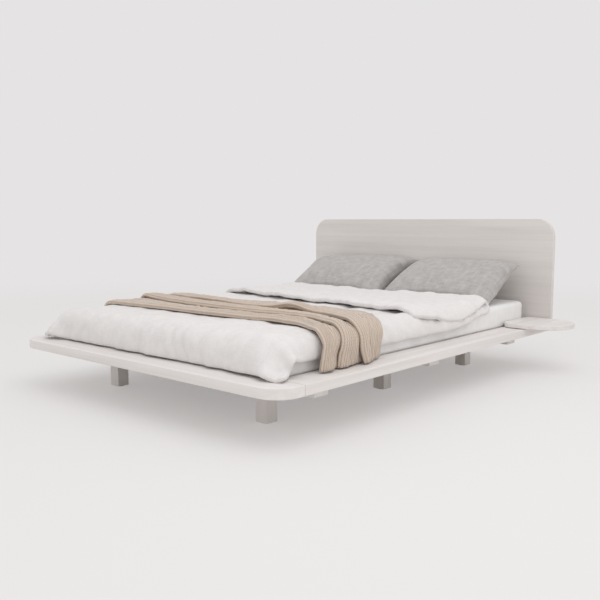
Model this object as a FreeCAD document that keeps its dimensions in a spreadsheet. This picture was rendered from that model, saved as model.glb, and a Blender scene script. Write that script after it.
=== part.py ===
import FreeCAD, Part
import math
import os
import re
import Sketcher

Vector = FreeCAD.Vector

# Driving sizes in millimetres, angles in degrees.
# The bed stands on the XY plane: +X to the right seen from the foot, +Y towards the headboard.
SIZES = {
    # Mattress and the opening that holds it
    "mattress_width": 1400,
    "mattress_length": 2000,
    "mattress_thick": 125,
    "mattress_corner": 60,
    "mattress_roll": 22,
    "mattress_side_gap": 5,
    "mattress_end_gap": 3,
    # Rim planks laid flat round the mattress
    "rail_width": 130,
    "rail_thick": 40,
    "rim_corner": 100,
    "arris": 3,
    "head_rail_thick": 22,
    # Legs and the cross-beams that they carry
    "leg_width": 60,
    "leg_height": 142,
    "leg_spread": 972,
    "felt_thick": 3,
    "felt_radius": 24,
    "beam_width": 80,
    "beam_height": 42,
    "beam_seat": 57,
    "foot_beam_inset": 302,
    "head_beam_inset": 322,
    # Slats and their bearers
    "ledger_width": 25,
    "ledger_height": 16,
    "centre_rail_width": 40,
    "lap_depth": 15,
    "slat_width": 90,
    "slat_thick": 12,
    "slat_margin": 20,
    "slat_end_gap": 2,
    "slat_count": 14,
    # Headboard
    "headboard_thick": 25,
    "headboard_height": 603,
    "headboard_corner": 100,
    # Plug-in trays on the side rails
    "tray_length": 325,
    "tray_reach": 315,
    "tray_thick": 22,
    "tray_corner": 60,
    "tray_wall_gap": 8,
    "tray_pin_radius": 5,
    "tray_pin_grip": 15,
    "tray_pin_depth": 30,
    "tray_pin_spread": 200,
    "tray_ring_radius": 14,
    "tray_ring_thick": 3,
    "pin_clearance": 0.05,
    "ring_clearance": 0.5,
    # Bolts, threaded inserts, dowels, plates and screws
    "bolt_radius": 4,
    "bolt_head_radius": 6.5,
    "bolt_head_height": 8,
    "bolt_clearance": 0.5,
    "head_sink": 1,
    "tip_clearance": 1.5,
    "insert_radius": 6,
    "insert_length": 25,
    "headboard_insert_length": 12,
    "leg_bolt_length": 70,
    "rail_bolt_length": 60,
    "headboard_bolt_length": 26,
    "headboard_bolt_inner": 220,
    "headboard_bolt_outer": 105,
    "dowel_radius": 5,
    "dowel_grip": 30,
    "dowel_spread": 60,
    "headboard_dowel_grip": 16,
    "plate_length": 100,
    "plate_width": 36,
    "plate_thick": 3,
    "plate_screw_inset": 20,
    "plate_screw_length": 14,
    "slat_screw_length": 25,
    "ledger_screw_length": 45,
    "screw_radius": 2,
    "screw_head_radius": 4,
    "screw_head_height": 2.5,
    # Duvet: a padded cover over the mattress, turned back in front of the pillows
    "duvet_thick": 25,
    "duvet_side": 28,
    "duvet_shoulder": 48,
    "duvet_corner": 95,
    "duvet_wave": 12,
    "duvet_hem_lift": 5,
    "duvet_side_hem_lift": 26,
    "duvet_head_hem_lift": 75,
    "fold_thick": 24,
    "fold_roll": 10,
    "fold_inset": 12,
    "fold_slant": 170,
    "fold_throw_gap": 220,
    # Throw: three lapped pleats across the duvet, hanging to the rim
    "throw_start": 268,
    "pleat_step": 128,
    "pleat_last": 170,
    "pleat_thick": 18,
    "pleat_nose": 5,
    "pleat_fall": 8,
    "pleat_crest": 3,
    "throw_skew": 75,
    "throw_left_lift": 45,
    # Pillows leaning on the headboard
    "pillow_width": 690,
    "pillow_height": 490,
    "pillow_crown": 92,
    "pillow_belly": 44,
    "pillow_seam": 8,
    "pillow_drawn_in": 14,
    "pillow_lean": 23,
    "pillow_apart": 6,
    "pillow_duvet_gap": 3,
    "soft_gap": 0.3,
}

FOOT_WAVES = 4
SIDE_WAVES = 3
PLEATS = 3
SLATS_PER_LEDGER_SCREW = 3
PILLOW_FULLNESS_POWER = 3
PILLOW_STATIONS = (-1.0, -0.94, -0.78, -0.45, 0.0, 0.45, 0.78, 0.94, 1.0)
SIDES = (("left", -1), ("right", 1))

# Places worked out from the driving sizes, as formulas
LENGTH = "(rail_width + 2 * mattress_end_gap + mattress_length + head_rail_thick + headboard_thick)"
FOOT_Y = f"(-{LENGTH} / 2)"
OPENING_Y = f"({FOOT_Y} + rail_width)"
OPENING_LENGTH = "(mattress_length + 2 * mattress_end_gap)"
HEAD_RAIL_Y = f"({OPENING_Y} + {OPENING_LENGTH})"
HEADBOARD_Y = f"({HEAD_RAIL_Y} + head_rail_thick)"
HALF_OPENING = "(mattress_width / 2 + mattress_side_gap)"
HALF_RIM = f"({HALF_OPENING} + rail_width)"
RAIL_MIDDLE = f"({HALF_OPENING} + rail_width / 2)"
HALF_BEAM = f"({HALF_OPENING} + beam_seat)"
BEAM_Z = "(felt_thick + leg_height)"
RAIL_Z = f"({BEAM_Z} + beam_height)"
RIM_TOP = f"({RAIL_Z} + rail_thick)"
RAIL_MIDDLE_Z = f"({RAIL_Z} + rail_thick / 2)"
SLAT_Z = f"({RAIL_Z} + ledger_height)"
MATTRESS_Y = f"({OPENING_Y} + mattress_end_gap)"
MATTRESS_Z = f"({SLAT_Z} + slat_thick)"
SUNK = "(bolt_head_height + head_sink)"
TRAY_Z = f"({RIM_TOP} + tray_ring_thick)"
TRAY_Y = f"({HEADBOARD_Y} - tray_wall_gap - tray_length)"
BEAMS = (
    ("foot", f"({FOOT_Y} + foot_beam_inset)"),
    ("middle", f"(({FOOT_Y} + {HEADBOARD_Y}) / 2)"),
    ("head", f"({HEADBOARD_Y} - head_beam_inset)"),
)

AXIS_TURNS = {
    "up": FreeCAD.Rotation(),
    "down": FreeCAD.Rotation(Vector(1, 0, 0), 180),
    "head": FreeCAD.Rotation(Vector(1, 0, 0), -90),
    "right": FreeCAD.Rotation(Vector(0, 1, 0), 90),
    "left": FreeCAD.Rotation(Vector(0, 1, 0), -90),
}

doc = FreeCAD.newDocument("double_bed")
sheet = doc.addObject("Spreadsheet::Sheet", "dims")
for row, (alias, value) in enumerate(SIZES.items(), start=1):
    sheet.set(f"A{row}", alias)
    sheet.set(f"B{row}", str(value))
    sheet.setAlias(f"B{row}", alias)
doc.recompute()

nodes = []


def cell(alias):
    return float(sheet.get(alias))


def bind(target, prop, formula):
    target.setExpression(prop, re.sub(r"[a-z][a-z_]*", r"dims.\g<0>", formula))


def place(target, at):
    for axis, formula in zip("xyz", at):
        bind(target, f"Placement.Base.{axis}", formula)


def node(target):
    nodes.append(target)
    return target


# Building blocks

def block(name, size, at):
    box = doc.addObject("Part::Box", name)
    for prop, formula in zip(("Length", "Width", "Height"), size):
        bind(box, prop, formula)
    place(box, at)
    return box


def rod(name, radius, length, at, axis="up"):
    cylinder = doc.addObject("Part::Cylinder", name)
    bind(cylinder, "Radius", radius)
    bind(cylinder, "Height", length)
    cylinder.Placement = FreeCAD.Placement(Vector(), AXIS_TURNS[axis])
    place(cylinder, at)
    return cylinder


def group(name, members):
    compound = doc.addObject("Part::Compound", name)
    compound.Links = members
    return compound


def joined(name, members):
    fuse = doc.addObject("Part::MultiFuse", name)
    fuse.Shapes = members
    return fuse


def bored(name, base, tools):
    cut = doc.addObject("Part::Cut", name)
    cut.Base = base
    cut.Tool = group(f"{name}_bores", tools)
    return cut


def bolt(name, seat, length, axis):
    # The shank runs along the axis from the seat, the head lies behind it
    back = {"up": "down", "down": "up", "head": "foot"}[axis]
    shank = rod(f"{name}_shank", "bolt_radius", length, seat, axis)
    x, y, z = seat
    if back == "foot":
        y = f"({y} - bolt_head_height)"
    elif back == "down":
        z = f"({z} - bolt_head_height)"
    else:
        z = f"({z} + bolt_head_height)"
    head = rod(f"{name}_head", "bolt_head_radius", "bolt_head_height", (x, y, z), axis)
    return joined(name, [shank, head])


def screw(name, length, at, axis):
    # A countersunk screw whose head face lies at the given point
    head = doc.addObject("Part::Cone", f"{name}_head")
    bind(head, "Radius1", "screw_head_radius")
    bind(head, "Radius2", "screw_radius")
    bind(head, "Height", "screw_head_height")
    head.Placement = FreeCAD.Placement(Vector(), AXIS_TURNS[axis])
    place(head, at)
    shank = rod(f"{name}_shank", "screw_radius", length, at, axis)
    return joined(name, [head, shank])


def new_sketch(body):
    sketch = body.newObject("Sketcher::SketchObject", f"{body.Name}_sketch")
    plane = next(item for item in body.Origin.OriginFeatures if item.Role == "XY_Plane")
    sketch.AttachmentSupport = [(plane, "")]
    sketch.MapMode = "FlatFace"
    return sketch


def dimension(sketch, name, constraint, formula):
    sketch.renameConstraint(sketch.addConstraint(constraint), name)
    bind(sketch, f"Constraints.{name}", formula)


def draw_rectangle(sketch, width, depth):
    start = [Vector(0, 0), Vector(2, 0), Vector(2, 1), Vector(0, 1)]
    for here, there in zip(start, start[1:] + start[:1]):
        sketch.addGeometry(Part.LineSegment(here, there), False)
    for line in range(4):
        sketch.addConstraint(Sketcher.Constraint("Coincident", line, 2, (line + 1) % 4, 1))
        sketch.addConstraint(Sketcher.Constraint(("Horizontal", "Vertical")[line % 2], line))
    sketch.addConstraint(Sketcher.Constraint("Coincident", 0, 1, -1, 1))
    dimension(sketch, "width", Sketcher.Constraint("DistanceX", 0, 1, 0, 2, 2), width)
    dimension(sketch, "depth", Sketcher.Constraint("DistanceY", 1, 1, 1, 2, 1), depth)


def draw_tray(sketch, side):
    # Straight edges beside the mattress, in front and behind, closed by a half circle
    start = [Vector(0, 0), Vector(0, 2), Vector(side, 2), Vector(side, 0)]
    inner = sketch.addGeometry(Part.LineSegment(start[0], start[1]), False)
    rear = sketch.addGeometry(Part.LineSegment(start[1], start[2]), False)
    tip = Part.Arc(start[2], Vector(side * 2, 1), start[3])
    outer = sketch.addGeometry(tip, False)
    front = sketch.addGeometry(Part.LineSegment(start[3], start[0]), False)
    # An arc runs counter-clockwise, so its ends swap between the two sides
    arc_rear, arc_front = (2, 1) if side > 0 else (1, 2)
    for pair in ((inner, 2, rear, 1), (front, 2, inner, 1), (inner, 1, -1, 1)):
        sketch.addConstraint(Sketcher.Constraint("Coincident", *pair))
    sketch.addConstraint(Sketcher.Constraint("Tangent", rear, 2, outer, arc_rear))
    sketch.addConstraint(Sketcher.Constraint("Tangent", outer, arc_front, front, 1))
    sketch.addConstraint(Sketcher.Constraint("Vertical", inner))
    sketch.addConstraint(Sketcher.Constraint("Horizontal", rear))
    sketch.addConstraint(Sketcher.Constraint("Horizontal", front))
    dimension(sketch, "run", Sketcher.Constraint("DistanceY", inner, 1, inner, 2, 2), "tray_length")
    ends = (front, 2, front, 1) if side > 0 else (front, 1, front, 2)
    straight = "tray_reach - tray_length / 2"
    dimension(sketch, "straight", Sketcher.Constraint("DistanceX", *ends, 1), straight)


def padded(body, sketch, height):
    pad = body.newObject("PartDesign::Pad", f"{body.Name}_pad")
    pad.Profile = sketch
    bind(pad, "Length", height)
    doc.recompute()
    return pad


def upright(edge):
    return abs(edge.tangentAt(edge.FirstParameter).z) > 0.99


def level(edge):
    box = edge.BoundBox
    return box.ZMax - box.ZMin < box.DiagonalLength / 1000


def rounded(body, base, name, radius, wanted):
    edges = [f"Edge{i}" for i, edge in enumerate(base.Shape.Edges, start=1) if wanted(edge)]
    fillet = body.newObject("PartDesign::Fillet", f"{body.Name}_{name}")
    fillet.Base = (base, edges)
    bind(fillet, "Radius", radius)
    doc.recompute()
    return fillet


def board(name, size, at, turn=FreeCAD.Rotation()):
    # A plank padded from a rectangle, and the pad that its edges are rounded on
    body = doc.addObject("PartDesign::Body", name)
    sketch = new_sketch(body)
    draw_rectangle(sketch, size[0], size[1])
    solid = padded(body, sketch, size[2])
    body.Placement = FreeCAD.Placement(Vector(), turn)
    place(body, at)
    return body, solid


def mirrored_x(side, formula):
    return formula if side > 0 else f"(-{formula})"


# Rim: foot rail with round corners, two side rails, a thin head rail

def corner_dowels():
    pegs = []
    for label, side in SIDES:
        for number, offset in enumerate(("+ dowel_spread / 2", "- dowel_spread / 2"), start=1):
            x = mirrored_x(side, f"({RAIL_MIDDLE} {offset})")
            at = (x, f"({OPENING_Y} - dowel_grip)", RAIL_MIDDLE_Z)
            pegs.append(rod(f"corner_dowel_{label}_{number}", "dowel_radius", "2 * dowel_grip", at, "head"))
    return pegs


def headboard_dowels():
    pegs = []
    for label, side in SIDES:
        for number, offset in enumerate(("+ dowel_spread / 2", "- dowel_spread / 2"), start=1):
            x = mirrored_x(side, f"({RAIL_MIDDLE} {offset})")
            at = (x, f"({HEADBOARD_Y} - dowel_grip)", RAIL_MIDDLE_Z)
            length = "dowel_grip + headboard_dowel_grip"
            pegs.append(rod(f"headboard_dowel_{label}_{number}", "dowel_radius", length, at, "head"))
    return pegs


def plate_screws(name, centre, along):
    # One screw near each end of a plate, driven up into the wood above it
    screws = []
    for number, sign in enumerate(("-", "+"), start=1):
        shift = f"{sign} (plate_length / 2 - plate_screw_inset)"
        x, y = centre
        if along == "x":
            x = f"({x} {shift})"
        else:
            y = f"({y} {shift})"
        at = (x, y, f"({RAIL_Z} - plate_thick)")
        screws.append(screw(f"{name}_screw_{number}", "plate_screw_length", at, "up"))
    return screws


def plate(name, centre, along, screws):
    half_x, half_y = ("plate_length", "plate_width") if along == "x" else ("plate_width", "plate_length")
    at = (f"({centre[0]} - {half_x} / 2)", f"({centre[1]} - {half_y} / 2)", f"({RAIL_Z} - plate_thick)")
    blank = block(f"{name}_blank", (half_x, half_y, "plate_thick"), at)
    return node(bored(name, blank, screws))


corner_pegs = corner_dowels()
headboard_pegs = headboard_dowels()
node(group("corner_dowels", corner_pegs))
node(group("headboard_dowels", headboard_pegs))

foot_plate_screws = {}
head_plate_screws = {}
for label, side in SIDES:
    foot_centre = (mirrored_x(side, RAIL_MIDDLE), OPENING_Y)
    head_centre = (mirrored_x(side, HALF_OPENING), f"({HEADBOARD_Y} - head_rail_thick / 2)")
    foot_plate_screws[label] = plate_screws(f"foot_plate_{label}", foot_centre, "y")
    head_plate_screws[label] = plate_screws(f"head_plate_{label}", head_centre, "x")
    plate(f"foot_plate_{label}", foot_centre, "y", foot_plate_screws[label])
    plate(f"head_plate_{label}", head_centre, "x", head_plate_screws[label])
all_foot_screws = foot_plate_screws["left"] + foot_plate_screws["right"]
all_head_screws = head_plate_screws["left"] + head_plate_screws["right"]
node(group("plate_screws", all_foot_screws + all_head_screws))


def foot_rail():
    body, solid = board(
        "foot_rail_plank",
        (f"2 * {HALF_RIM}", "rail_width", "rail_thick"),
        (f"-{HALF_RIM}", FOOT_Y, RAIL_Z),
    )

    def front_corner(edge):
        return upright(edge) and edge.CenterOfMass.y < cell("arris")

    solid = rounded(body, solid, "corners", "rim_corner", front_corner)
    rounded(body, solid, "arris", "arris", level)
    return node(bored("foot_rail", body, corner_pegs + all_foot_screws))


foot_rail()


# Cross-beams, their bolts into the side rails, and the legs below them

def counterbore(name, seat, length, axis):
    # Clearance bore for a bolt: shank hole and a wider hole for its sunk head
    x, y, z = seat
    shank = rod(f"{name}_shank_bore", "bolt_radius + bolt_clearance", length, seat, axis)
    if axis == "up":
        head_at = (x, y, f"({z} - {SUNK})")
    elif axis == "down":
        head_at = (x, y, f"({z} + {SUNK})")
    else:
        head_at = (x, f"({y} - {SUNK})", z)
    head = rod(f"{name}_head_bore", "bolt_head_radius + bolt_clearance", SUNK, head_at, axis)
    return [shank, head]


def insert_bore(name, mouth, insert_length, tip_depth, axis):
    # Blind bore for a threaded insert, carried on past it for the tip of the bolt
    wide = rod(f"{name}_insert_bore", "insert_radius", insert_length, mouth, axis)
    narrow = rod(f"{name}_tip_bore", "bolt_radius + bolt_clearance", tip_depth, mouth, axis)
    return [wide, narrow]


def insert(name, mouth, insert_length, axis):
    sleeve = rod(f"{name}_sleeve", "insert_radius", insert_length, mouth, axis)
    bore = rod(f"{name}_thread", "bolt_radius", insert_length, mouth, axis)
    cut = doc.addObject("Part::Cut", name)
    cut.Base = sleeve
    cut.Tool = bore
    return cut


RAIL_BOLT_X = f"({HALF_OPENING} + beam_seat / 2)"
rail_bolts = []
rail_inserts = []
rail_bores = {"left": [], "right": []}
leg_bolts = []
leg_inserts = []
felt_pads = []

for row, beam_y in BEAMS:
    beam_tools = []
    for label, side in SIDES:
        key = f"{row}_{label}"
        # Bolt up through the beam into the side rail
        bolt_x = mirrored_x(side, RAIL_BOLT_X)
        seat = (bolt_x, beam_y, f"({BEAM_Z} + {SUNK})")
        mouth = (bolt_x, beam_y, RAIL_Z)
        rail_bolts.append(bolt(f"rail_bolt_{key}", seat, "rail_bolt_length", "up"))
        rail_inserts.append(insert(f"rail_insert_{key}", mouth, "insert_length", "up"))
        tip = f"rail_bolt_length + {SUNK} - beam_height + tip_clearance"
        rail_bores[label] += insert_bore(f"rail_{key}", mouth, "insert_length", tip, "up")
        beam_tools += counterbore(f"beam_rail_{key}", seat, "beam_height", "up")
        # Bolt down through the beam into the leg
        leg_x = mirrored_x(side, "leg_spread / 2")
        seat = (leg_x, beam_y, f"({RAIL_Z} - {SUNK})")
        mouth = (leg_x, beam_y, BEAM_Z)
        leg_bolts.append(bolt(f"leg_bolt_{key}", seat, "leg_bolt_length", "down"))
        leg_inserts.append(insert(f"leg_insert_{key}", mouth, "insert_length", "down"))
        tip = f"leg_bolt_length + {SUNK} - beam_height + tip_clearance"
        leg_tools = insert_bore(f"leg_{key}", mouth, "insert_length", tip, "down")
        beam_tools += counterbore(f"beam_leg_{key}", seat, "beam_height", "down")
        # Square leg with eased uprights on a felt disc
        corner = (f"({leg_x} - leg_width / 2)", f"({beam_y} - leg_width / 2)", "felt_thick")
        body, solid = board(f"leg_{key}_post", ("leg_width", "leg_width", "leg_height"), corner)
        rounded(body, solid, "arris", "arris", upright)
        node(bored(f"leg_{key}", body, leg_tools))
        felt_pads.append(rod(f"felt_{key}", "felt_radius", "felt_thick", (leg_x, beam_y, "0")))
    # Beam with a lap notch for the centre rail
    corner = (f"-{HALF_BEAM}", f"({beam_y} - beam_width / 2)", BEAM_Z)
    body, solid = board(f"cross_beam_{row}_plank", (f"2 * {HALF_BEAM}", "beam_width", "beam_height"), corner)

    def lower(edge):
        return level(edge) and edge.CenterOfMass.z < cell("arris")

    rounded(body, solid, "arris", "arris", lower)
    notch = block(
        f"beam_notch_{row}",
        ("centre_rail_width", "beam_width", "lap_depth"),
        ("-centre_rail_width / 2", f"({beam_y} - beam_width / 2)", f"({RAIL_Z} - lap_depth)"),
    )
    node(bored(f"cross_beam_{row}", body, beam_tools + [notch]))

node(group("rail_bolts", rail_bolts))
node(group("rail_inserts", rail_inserts))
node(group("leg_bolts", leg_bolts))
node(group("leg_inserts", leg_inserts))
node(group("leg_felt_pads", felt_pads))


# Slats on two ledgers and a lapped centre rail

slat_total = int(cell("slat_count"))
SLAT_PITCH = f"(({OPENING_LENGTH} - 2 * slat_margin - slat_width) / (slat_count - 1))"
LEDGER_X = f"({HALF_OPENING} - ledger_width / 2)"
LEDGER_GAPS = tuple(range(1, slat_total, SLATS_PER_LEDGER_SCREW))
slat_screws = {"left": [], "right": []}
for number in range(slat_total):
    slat_y = f"({OPENING_Y} + slat_margin + {number} * {SLAT_PITCH})"
    corner = (f"-({HALF_OPENING} - slat_end_gap)", slat_y, SLAT_Z)
    size = (f"2 * ({HALF_OPENING} - slat_end_gap)", "slat_width", "slat_thick")
    pair = []
    for label, side in SIDES:
        head_at = (mirrored_x(side, LEDGER_X), f"({slat_y} + slat_width / 2)", MATTRESS_Z)
        pair.append(screw(f"slat_screw_{label}_{number + 1}", "slat_screw_length", head_at, "down"))
        slat_screws[label].append(pair[-1])
    blank = block(f"slat_blank_{number + 1}", size, corner)
    node(bored(f"slat_{number + 1:02d}", blank, pair))
node(group("slat_screws", slat_screws["left"] + slat_screws["right"]))

ledger_screws = {"left": [], "right": []}
for label, side in SIDES:
    for number in LEDGER_GAPS:
        # Midway between two slats, driven outwards into the side rail
        middle = f"({OPENING_Y} + slat_margin + slat_width / 2 + ({number} - 0.5) * {SLAT_PITCH})"
        head_x = mirrored_x(side, f"({HALF_OPENING} - ledger_width)")
        head_at = (head_x, middle, f"({RAIL_Z} + ledger_height / 2)")
        name = f"ledger_screw_{label}_{number}"
        ledger_screws[label].append(screw(name, "ledger_screw_length", head_at, label))
    inner_x = f"({HALF_OPENING} - ledger_width)" if side > 0 else f"-{HALF_OPENING}"
    blank = block(
        f"ledger_blank_{label}",
        ("ledger_width", OPENING_LENGTH, "ledger_height"),
        (inner_x, OPENING_Y, RAIL_Z),
    )
    node(bored(f"slat_ledger_{label}", blank, slat_screws[label] + ledger_screws[label]))
node(group("ledger_screws", ledger_screws["left"] + ledger_screws["right"]))

centre_blank = block(
    "centre_rail_blank",
    ("centre_rail_width", OPENING_LENGTH, "ledger_height + 2 * lap_depth"),
    ("-centre_rail_width / 2", OPENING_Y, f"({RAIL_Z} - 2 * lap_depth)"),
)
centre_notches = [
    block(
        f"centre_notch_{row}",
        ("centre_rail_width", "beam_width", "lap_depth"),
        ("-centre_rail_width / 2", f"({beam_y} - beam_width / 2)", f"({RAIL_Z} - 2 * lap_depth)"),
    )
    for row, beam_y in BEAMS
]
node(bored("centre_rail", centre_blank, centre_notches))


# Head rail and headboard, bolted together from the mattress side

headboard_bolts = []
headboard_inserts = []
head_rail_tools = list(all_head_screws)
headboard_tools = list(headboard_pegs)
# Inner bolts are measured from the middle of the bed, outer ones from the ends of the head rail
BOLT_PLACES = {"inner": "headboard_bolt_inner", "outer": f"({HALF_OPENING} - headboard_bolt_outer)"}
for label, side in SIDES:
    for spot, bolt_place in BOLT_PLACES.items():
        key = f"{label}_{spot}"
        bolt_x = mirrored_x(side, bolt_place)
        seat = (bolt_x, f"({HEAD_RAIL_Y} + {SUNK})", RAIL_MIDDLE_Z)
        mouth = (bolt_x, HEADBOARD_Y, RAIL_MIDDLE_Z)
        tip = f"headboard_bolt_length + {SUNK} - head_rail_thick + tip_clearance"
        headboard_bolts.append(bolt(f"headboard_bolt_{key}", seat, "headboard_bolt_length", "head"))
        headboard_inserts.append(insert(f"headboard_insert_{key}", mouth, "headboard_insert_length", "head"))
        head_rail_tools += counterbore(f"head_rail_{key}", seat, "head_rail_thick", "head")
        headboard_tools += insert_bore(f"headboard_{key}", mouth, "headboard_insert_length", tip, "head")
node(group("headboard_bolts", headboard_bolts))
node(group("headboard_inserts", headboard_inserts))

head_blank = block(
    "head_rail_blank",
    (f"2 * {HALF_OPENING}", "head_rail_thick", "rail_thick"),
    (f"-{HALF_OPENING}", HEAD_RAIL_Y, RAIL_Z),
)
node(bored("head_rail", head_blank, head_rail_tools))


def headboard():
    # Drawn lying down, then stood up: sketch width across the bed, sketch depth upwards
    standing = FreeCAD.Rotation(Vector(1, 0, 0), 90)
    body, solid = board(
        "headboard_panel",
        (f"2 * {HALF_RIM}", "headboard_height", "headboard_thick"),
        (f"-{HALF_RIM}", f"({HEADBOARD_Y} + headboard_thick)", RAIL_Z),
        standing,
    )

    def top_corner(edge):
        return upright(edge) and edge.CenterOfMass.y > cell("headboard_height") / 2

    solid = rounded(body, solid, "corners", "headboard_corner", top_corner)
    rounded(body, solid, "arris", "arris", level)
    return node(bored("headboard", body, headboard_tools))


headboard_node = headboard()


# Trays with two pins each, dropped into bores of the side rails

PIN_X = RAIL_MIDDLE
PIN_LENGTH = "(tray_pin_depth + tray_ring_thick + tray_pin_grip)"
pin_bores = {"left": [], "right": []}


def tray(label, side):
    pins = []
    rings = []
    for number, sign in enumerate(("-", "+"), start=1):
        key = f"{label}_{number}"
        pin_x = mirrored_x(side, PIN_X)
        pin_y = f"({TRAY_Y} + tray_length / 2 {sign} tray_pin_spread / 2)"
        low = (pin_x, pin_y, f"({RIM_TOP} - tray_pin_depth)")
        pins.append(rod(f"tray_pin_{key}", "tray_pin_radius", PIN_LENGTH, low))
        bore_low = (pin_x, pin_y, f"({RIM_TOP} - tray_pin_depth - tip_clearance)")
        bore = rod(
            f"pin_bore_{key}",
            "tray_pin_radius + pin_clearance",
            "tray_pin_depth + tip_clearance",
            bore_low,
        )
        pin_bores[label].append(bore)
        seat = (pin_x, pin_y, RIM_TOP)
        disc = rod(f"tray_disc_{key}", "tray_ring_radius", "tray_ring_thick", seat)
        hole = rod(f"tray_disc_hole_{key}", "tray_pin_radius + ring_clearance", "tray_ring_thick", seat)
        rings.append(bored(f"tray_ring_{key}", disc, [hole]))
    body = doc.addObject("PartDesign::Body", f"tray_{label}_board")
    sketch = new_sketch(body)
    draw_tray(sketch, side)
    solid = padded(body, sketch, "tray_thick")

    def inner_front(edge):
        middle = edge.CenterOfMass
        return upright(edge) and abs(middle.x) + abs(middle.y) < cell("arris")

    solid = rounded(body, solid, "corner", "tray_corner", inner_front)
    rounded(body, solid, "arris", "arris", level)
    place(body, (mirrored_x(side, HALF_OPENING), TRAY_Y, TRAY_Z))
    node(bored(f"tray_{label}", body, pins))
    node(group(f"tray_pins_{label}", pins))
    node(group(f"tray_rings_{label}", rings))


for label, side in SIDES:
    tray(label, side)
    side_x = HALF_OPENING if side > 0 else f"-{HALF_RIM}"
    body, solid = board(
        f"side_rail_{label}_plank",
        ("rail_width", f"{OPENING_LENGTH} + head_rail_thick", "rail_thick"),
        (side_x, OPENING_Y, RAIL_Z),
    )
    rounded(body, solid, "arris", "arris", level)
    tools = corner_pegs + headboard_pegs + rail_bores[label] + pin_bores[label]
    tools += foot_plate_screws[label] + head_plate_screws[label] + ledger_screws[label]
    node(bored(f"side_rail_{label}", body, tools))


# Mattress: a block with round corners and rolled edges

def mattress():
    body, solid = board(
        "mattress",
        ("mattress_width", "mattress_length", "mattress_thick"),
        ("-mattress_width / 2", MATTRESS_Y, MATTRESS_Z),
    )
    solid = rounded(body, solid, "corners", "mattress_corner", upright)
    rounded(body, solid, "roll", "mattress_roll", level)
    return node(body)


mattress_node = mattress()
doc.recompute()

mattress_box = mattress_node.Shape.BoundBox
rim_top = doc.getObject("foot_rail").Shape.BoundBox.ZMax
headboard_front = headboard_node.Shape.BoundBox.YMin
gap = cell("soft_gap")


# Pillows: lens sections lofted along the width, drawn in on all four sides

def pillow_section(station):
    # Chord and bulge at a station from -1 to 1 across the width
    fullness = math.sqrt(1 - abs(station) ** PILLOW_FULLNESS_POWER)
    chord = cell("pillow_height") - 2 * cell("pillow_drawn_in") * (1 - station ** 2)
    seam = cell("pillow_seam") / 2
    crown = seam + (cell("pillow_crown") - seam) * fullness
    belly = seam + (cell("pillow_belly") - seam) * fullness
    x = station * cell("pillow_width") / 2
    front = Vector(x, -chord / 2, 0)
    back = Vector(x, chord / 2, 0)
    rise = Vector(0, 0, seam)
    edges = [
        Part.Arc(front - rise, Vector(x, 0, -seam - belly), back - rise).toShape(),
        Part.makeLine(back - rise, back + rise),
        Part.Arc(back + rise, Vector(x, 0, seam + crown), front + rise).toShape(),
        Part.makeLine(front + rise, front - rise),
    ]
    return Part.Wire(edges)


def pillow_shape():
    solid = Part.makeLoft([pillow_section(station) for station in PILLOW_STATIONS], True, False)
    drawn = cell("pillow_drawn_in")
    half = cell("pillow_height") / 2
    reach = (half ** 2 + drawn ** 2) / (2 * drawn)
    deep = cell("pillow_crown") + cell("pillow_belly")
    for _, side in SIDES:
        axis = Vector(side * (cell("pillow_width") / 2 - drawn + reach), 0, -deep)
        solid = solid.cut(Part.makeCylinder(reach, 2 * deep, axis))
    lean = FreeCAD.Rotation(Vector(1, 0, 0), cell("pillow_lean"))
    solid.Placement = FreeCAD.Placement(Vector(), lean)
    return solid.Solids[0]


pillow_solid = pillow_shape()
pillow_box = pillow_solid.optimalBoundingBox(False)
pillow_y = headboard_front - gap - pillow_box.YMax
pillow_z = mattress_box.ZMax + gap - pillow_box.ZMin
pillow_front = pillow_y + pillow_box.YMin
for label, side in SIDES:
    pillow = doc.addObject("Part::Feature", f"pillow_{label}")
    pillow.Shape = pillow_solid
    pillow_x = side * (cell("pillow_width") + cell("pillow_apart")) / 2
    seat = Vector(pillow_x, pillow_y, pillow_z)
    pillow.Placement = FreeCAD.Placement(seat, pillow_solid.Placement.Rotation)
    node(pillow)


# Duvet and throw: x across the bed, y from the foot end of the mattress, z from the rim

def wavy_edges(start, along, outwards, length, waves, height):
    # Each wave is three arcs that meet tangentially and start and end in line with the side
    quarter = length / waves / 4
    radius = (quarter ** 2 + height ** 2 / 4) / height
    half_turn = math.asin(quarter / radius) / 2
    dip = Vector(radius * math.sin(half_turn), radius * (1 - math.cos(half_turn)), 0)
    edges = []
    for wave in range(waves):

        def point(run, rise):
            return start + along * (4 * quarter * wave + run) + outwards * rise

        climb = point(quarter, height / 2)
        descent = point(3 * quarter, height / 2)
        edges.append(Part.Arc(point(0, 0), point(dip.x, dip.y), climb).toShape())
        edges.append(Part.Arc(climb, point(2 * quarter, height), descent).toShape())
        edges.append(Part.Arc(descent, point(4 * quarter - dip.x, dip.y), point(4 * quarter, 0)).toShape())
    return edges


def corner_edge(start, end, centre):
    radius = (start - centre).Length
    middle = centre + ((start + end) / 2 - centre).normalize() * radius
    return Part.Arc(start, middle, end).toShape()


half_width = cell("mattress_width") / 2 + cell("duvet_side")
duvet_top = mattress_box.ZMax - rim_top + cell("duvet_thick")
shoulder = cell("duvet_shoulder")
crease = pillow_front - cell("pillow_duvet_gap") - mattress_box.YMin
throw_width = (PLEATS - 1) * cell("pleat_step") + cell("pleat_last")
throw_reach = cell("throw_skew") / 2
throw_end = cell("throw_start") + throw_width + throw_reach


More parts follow.
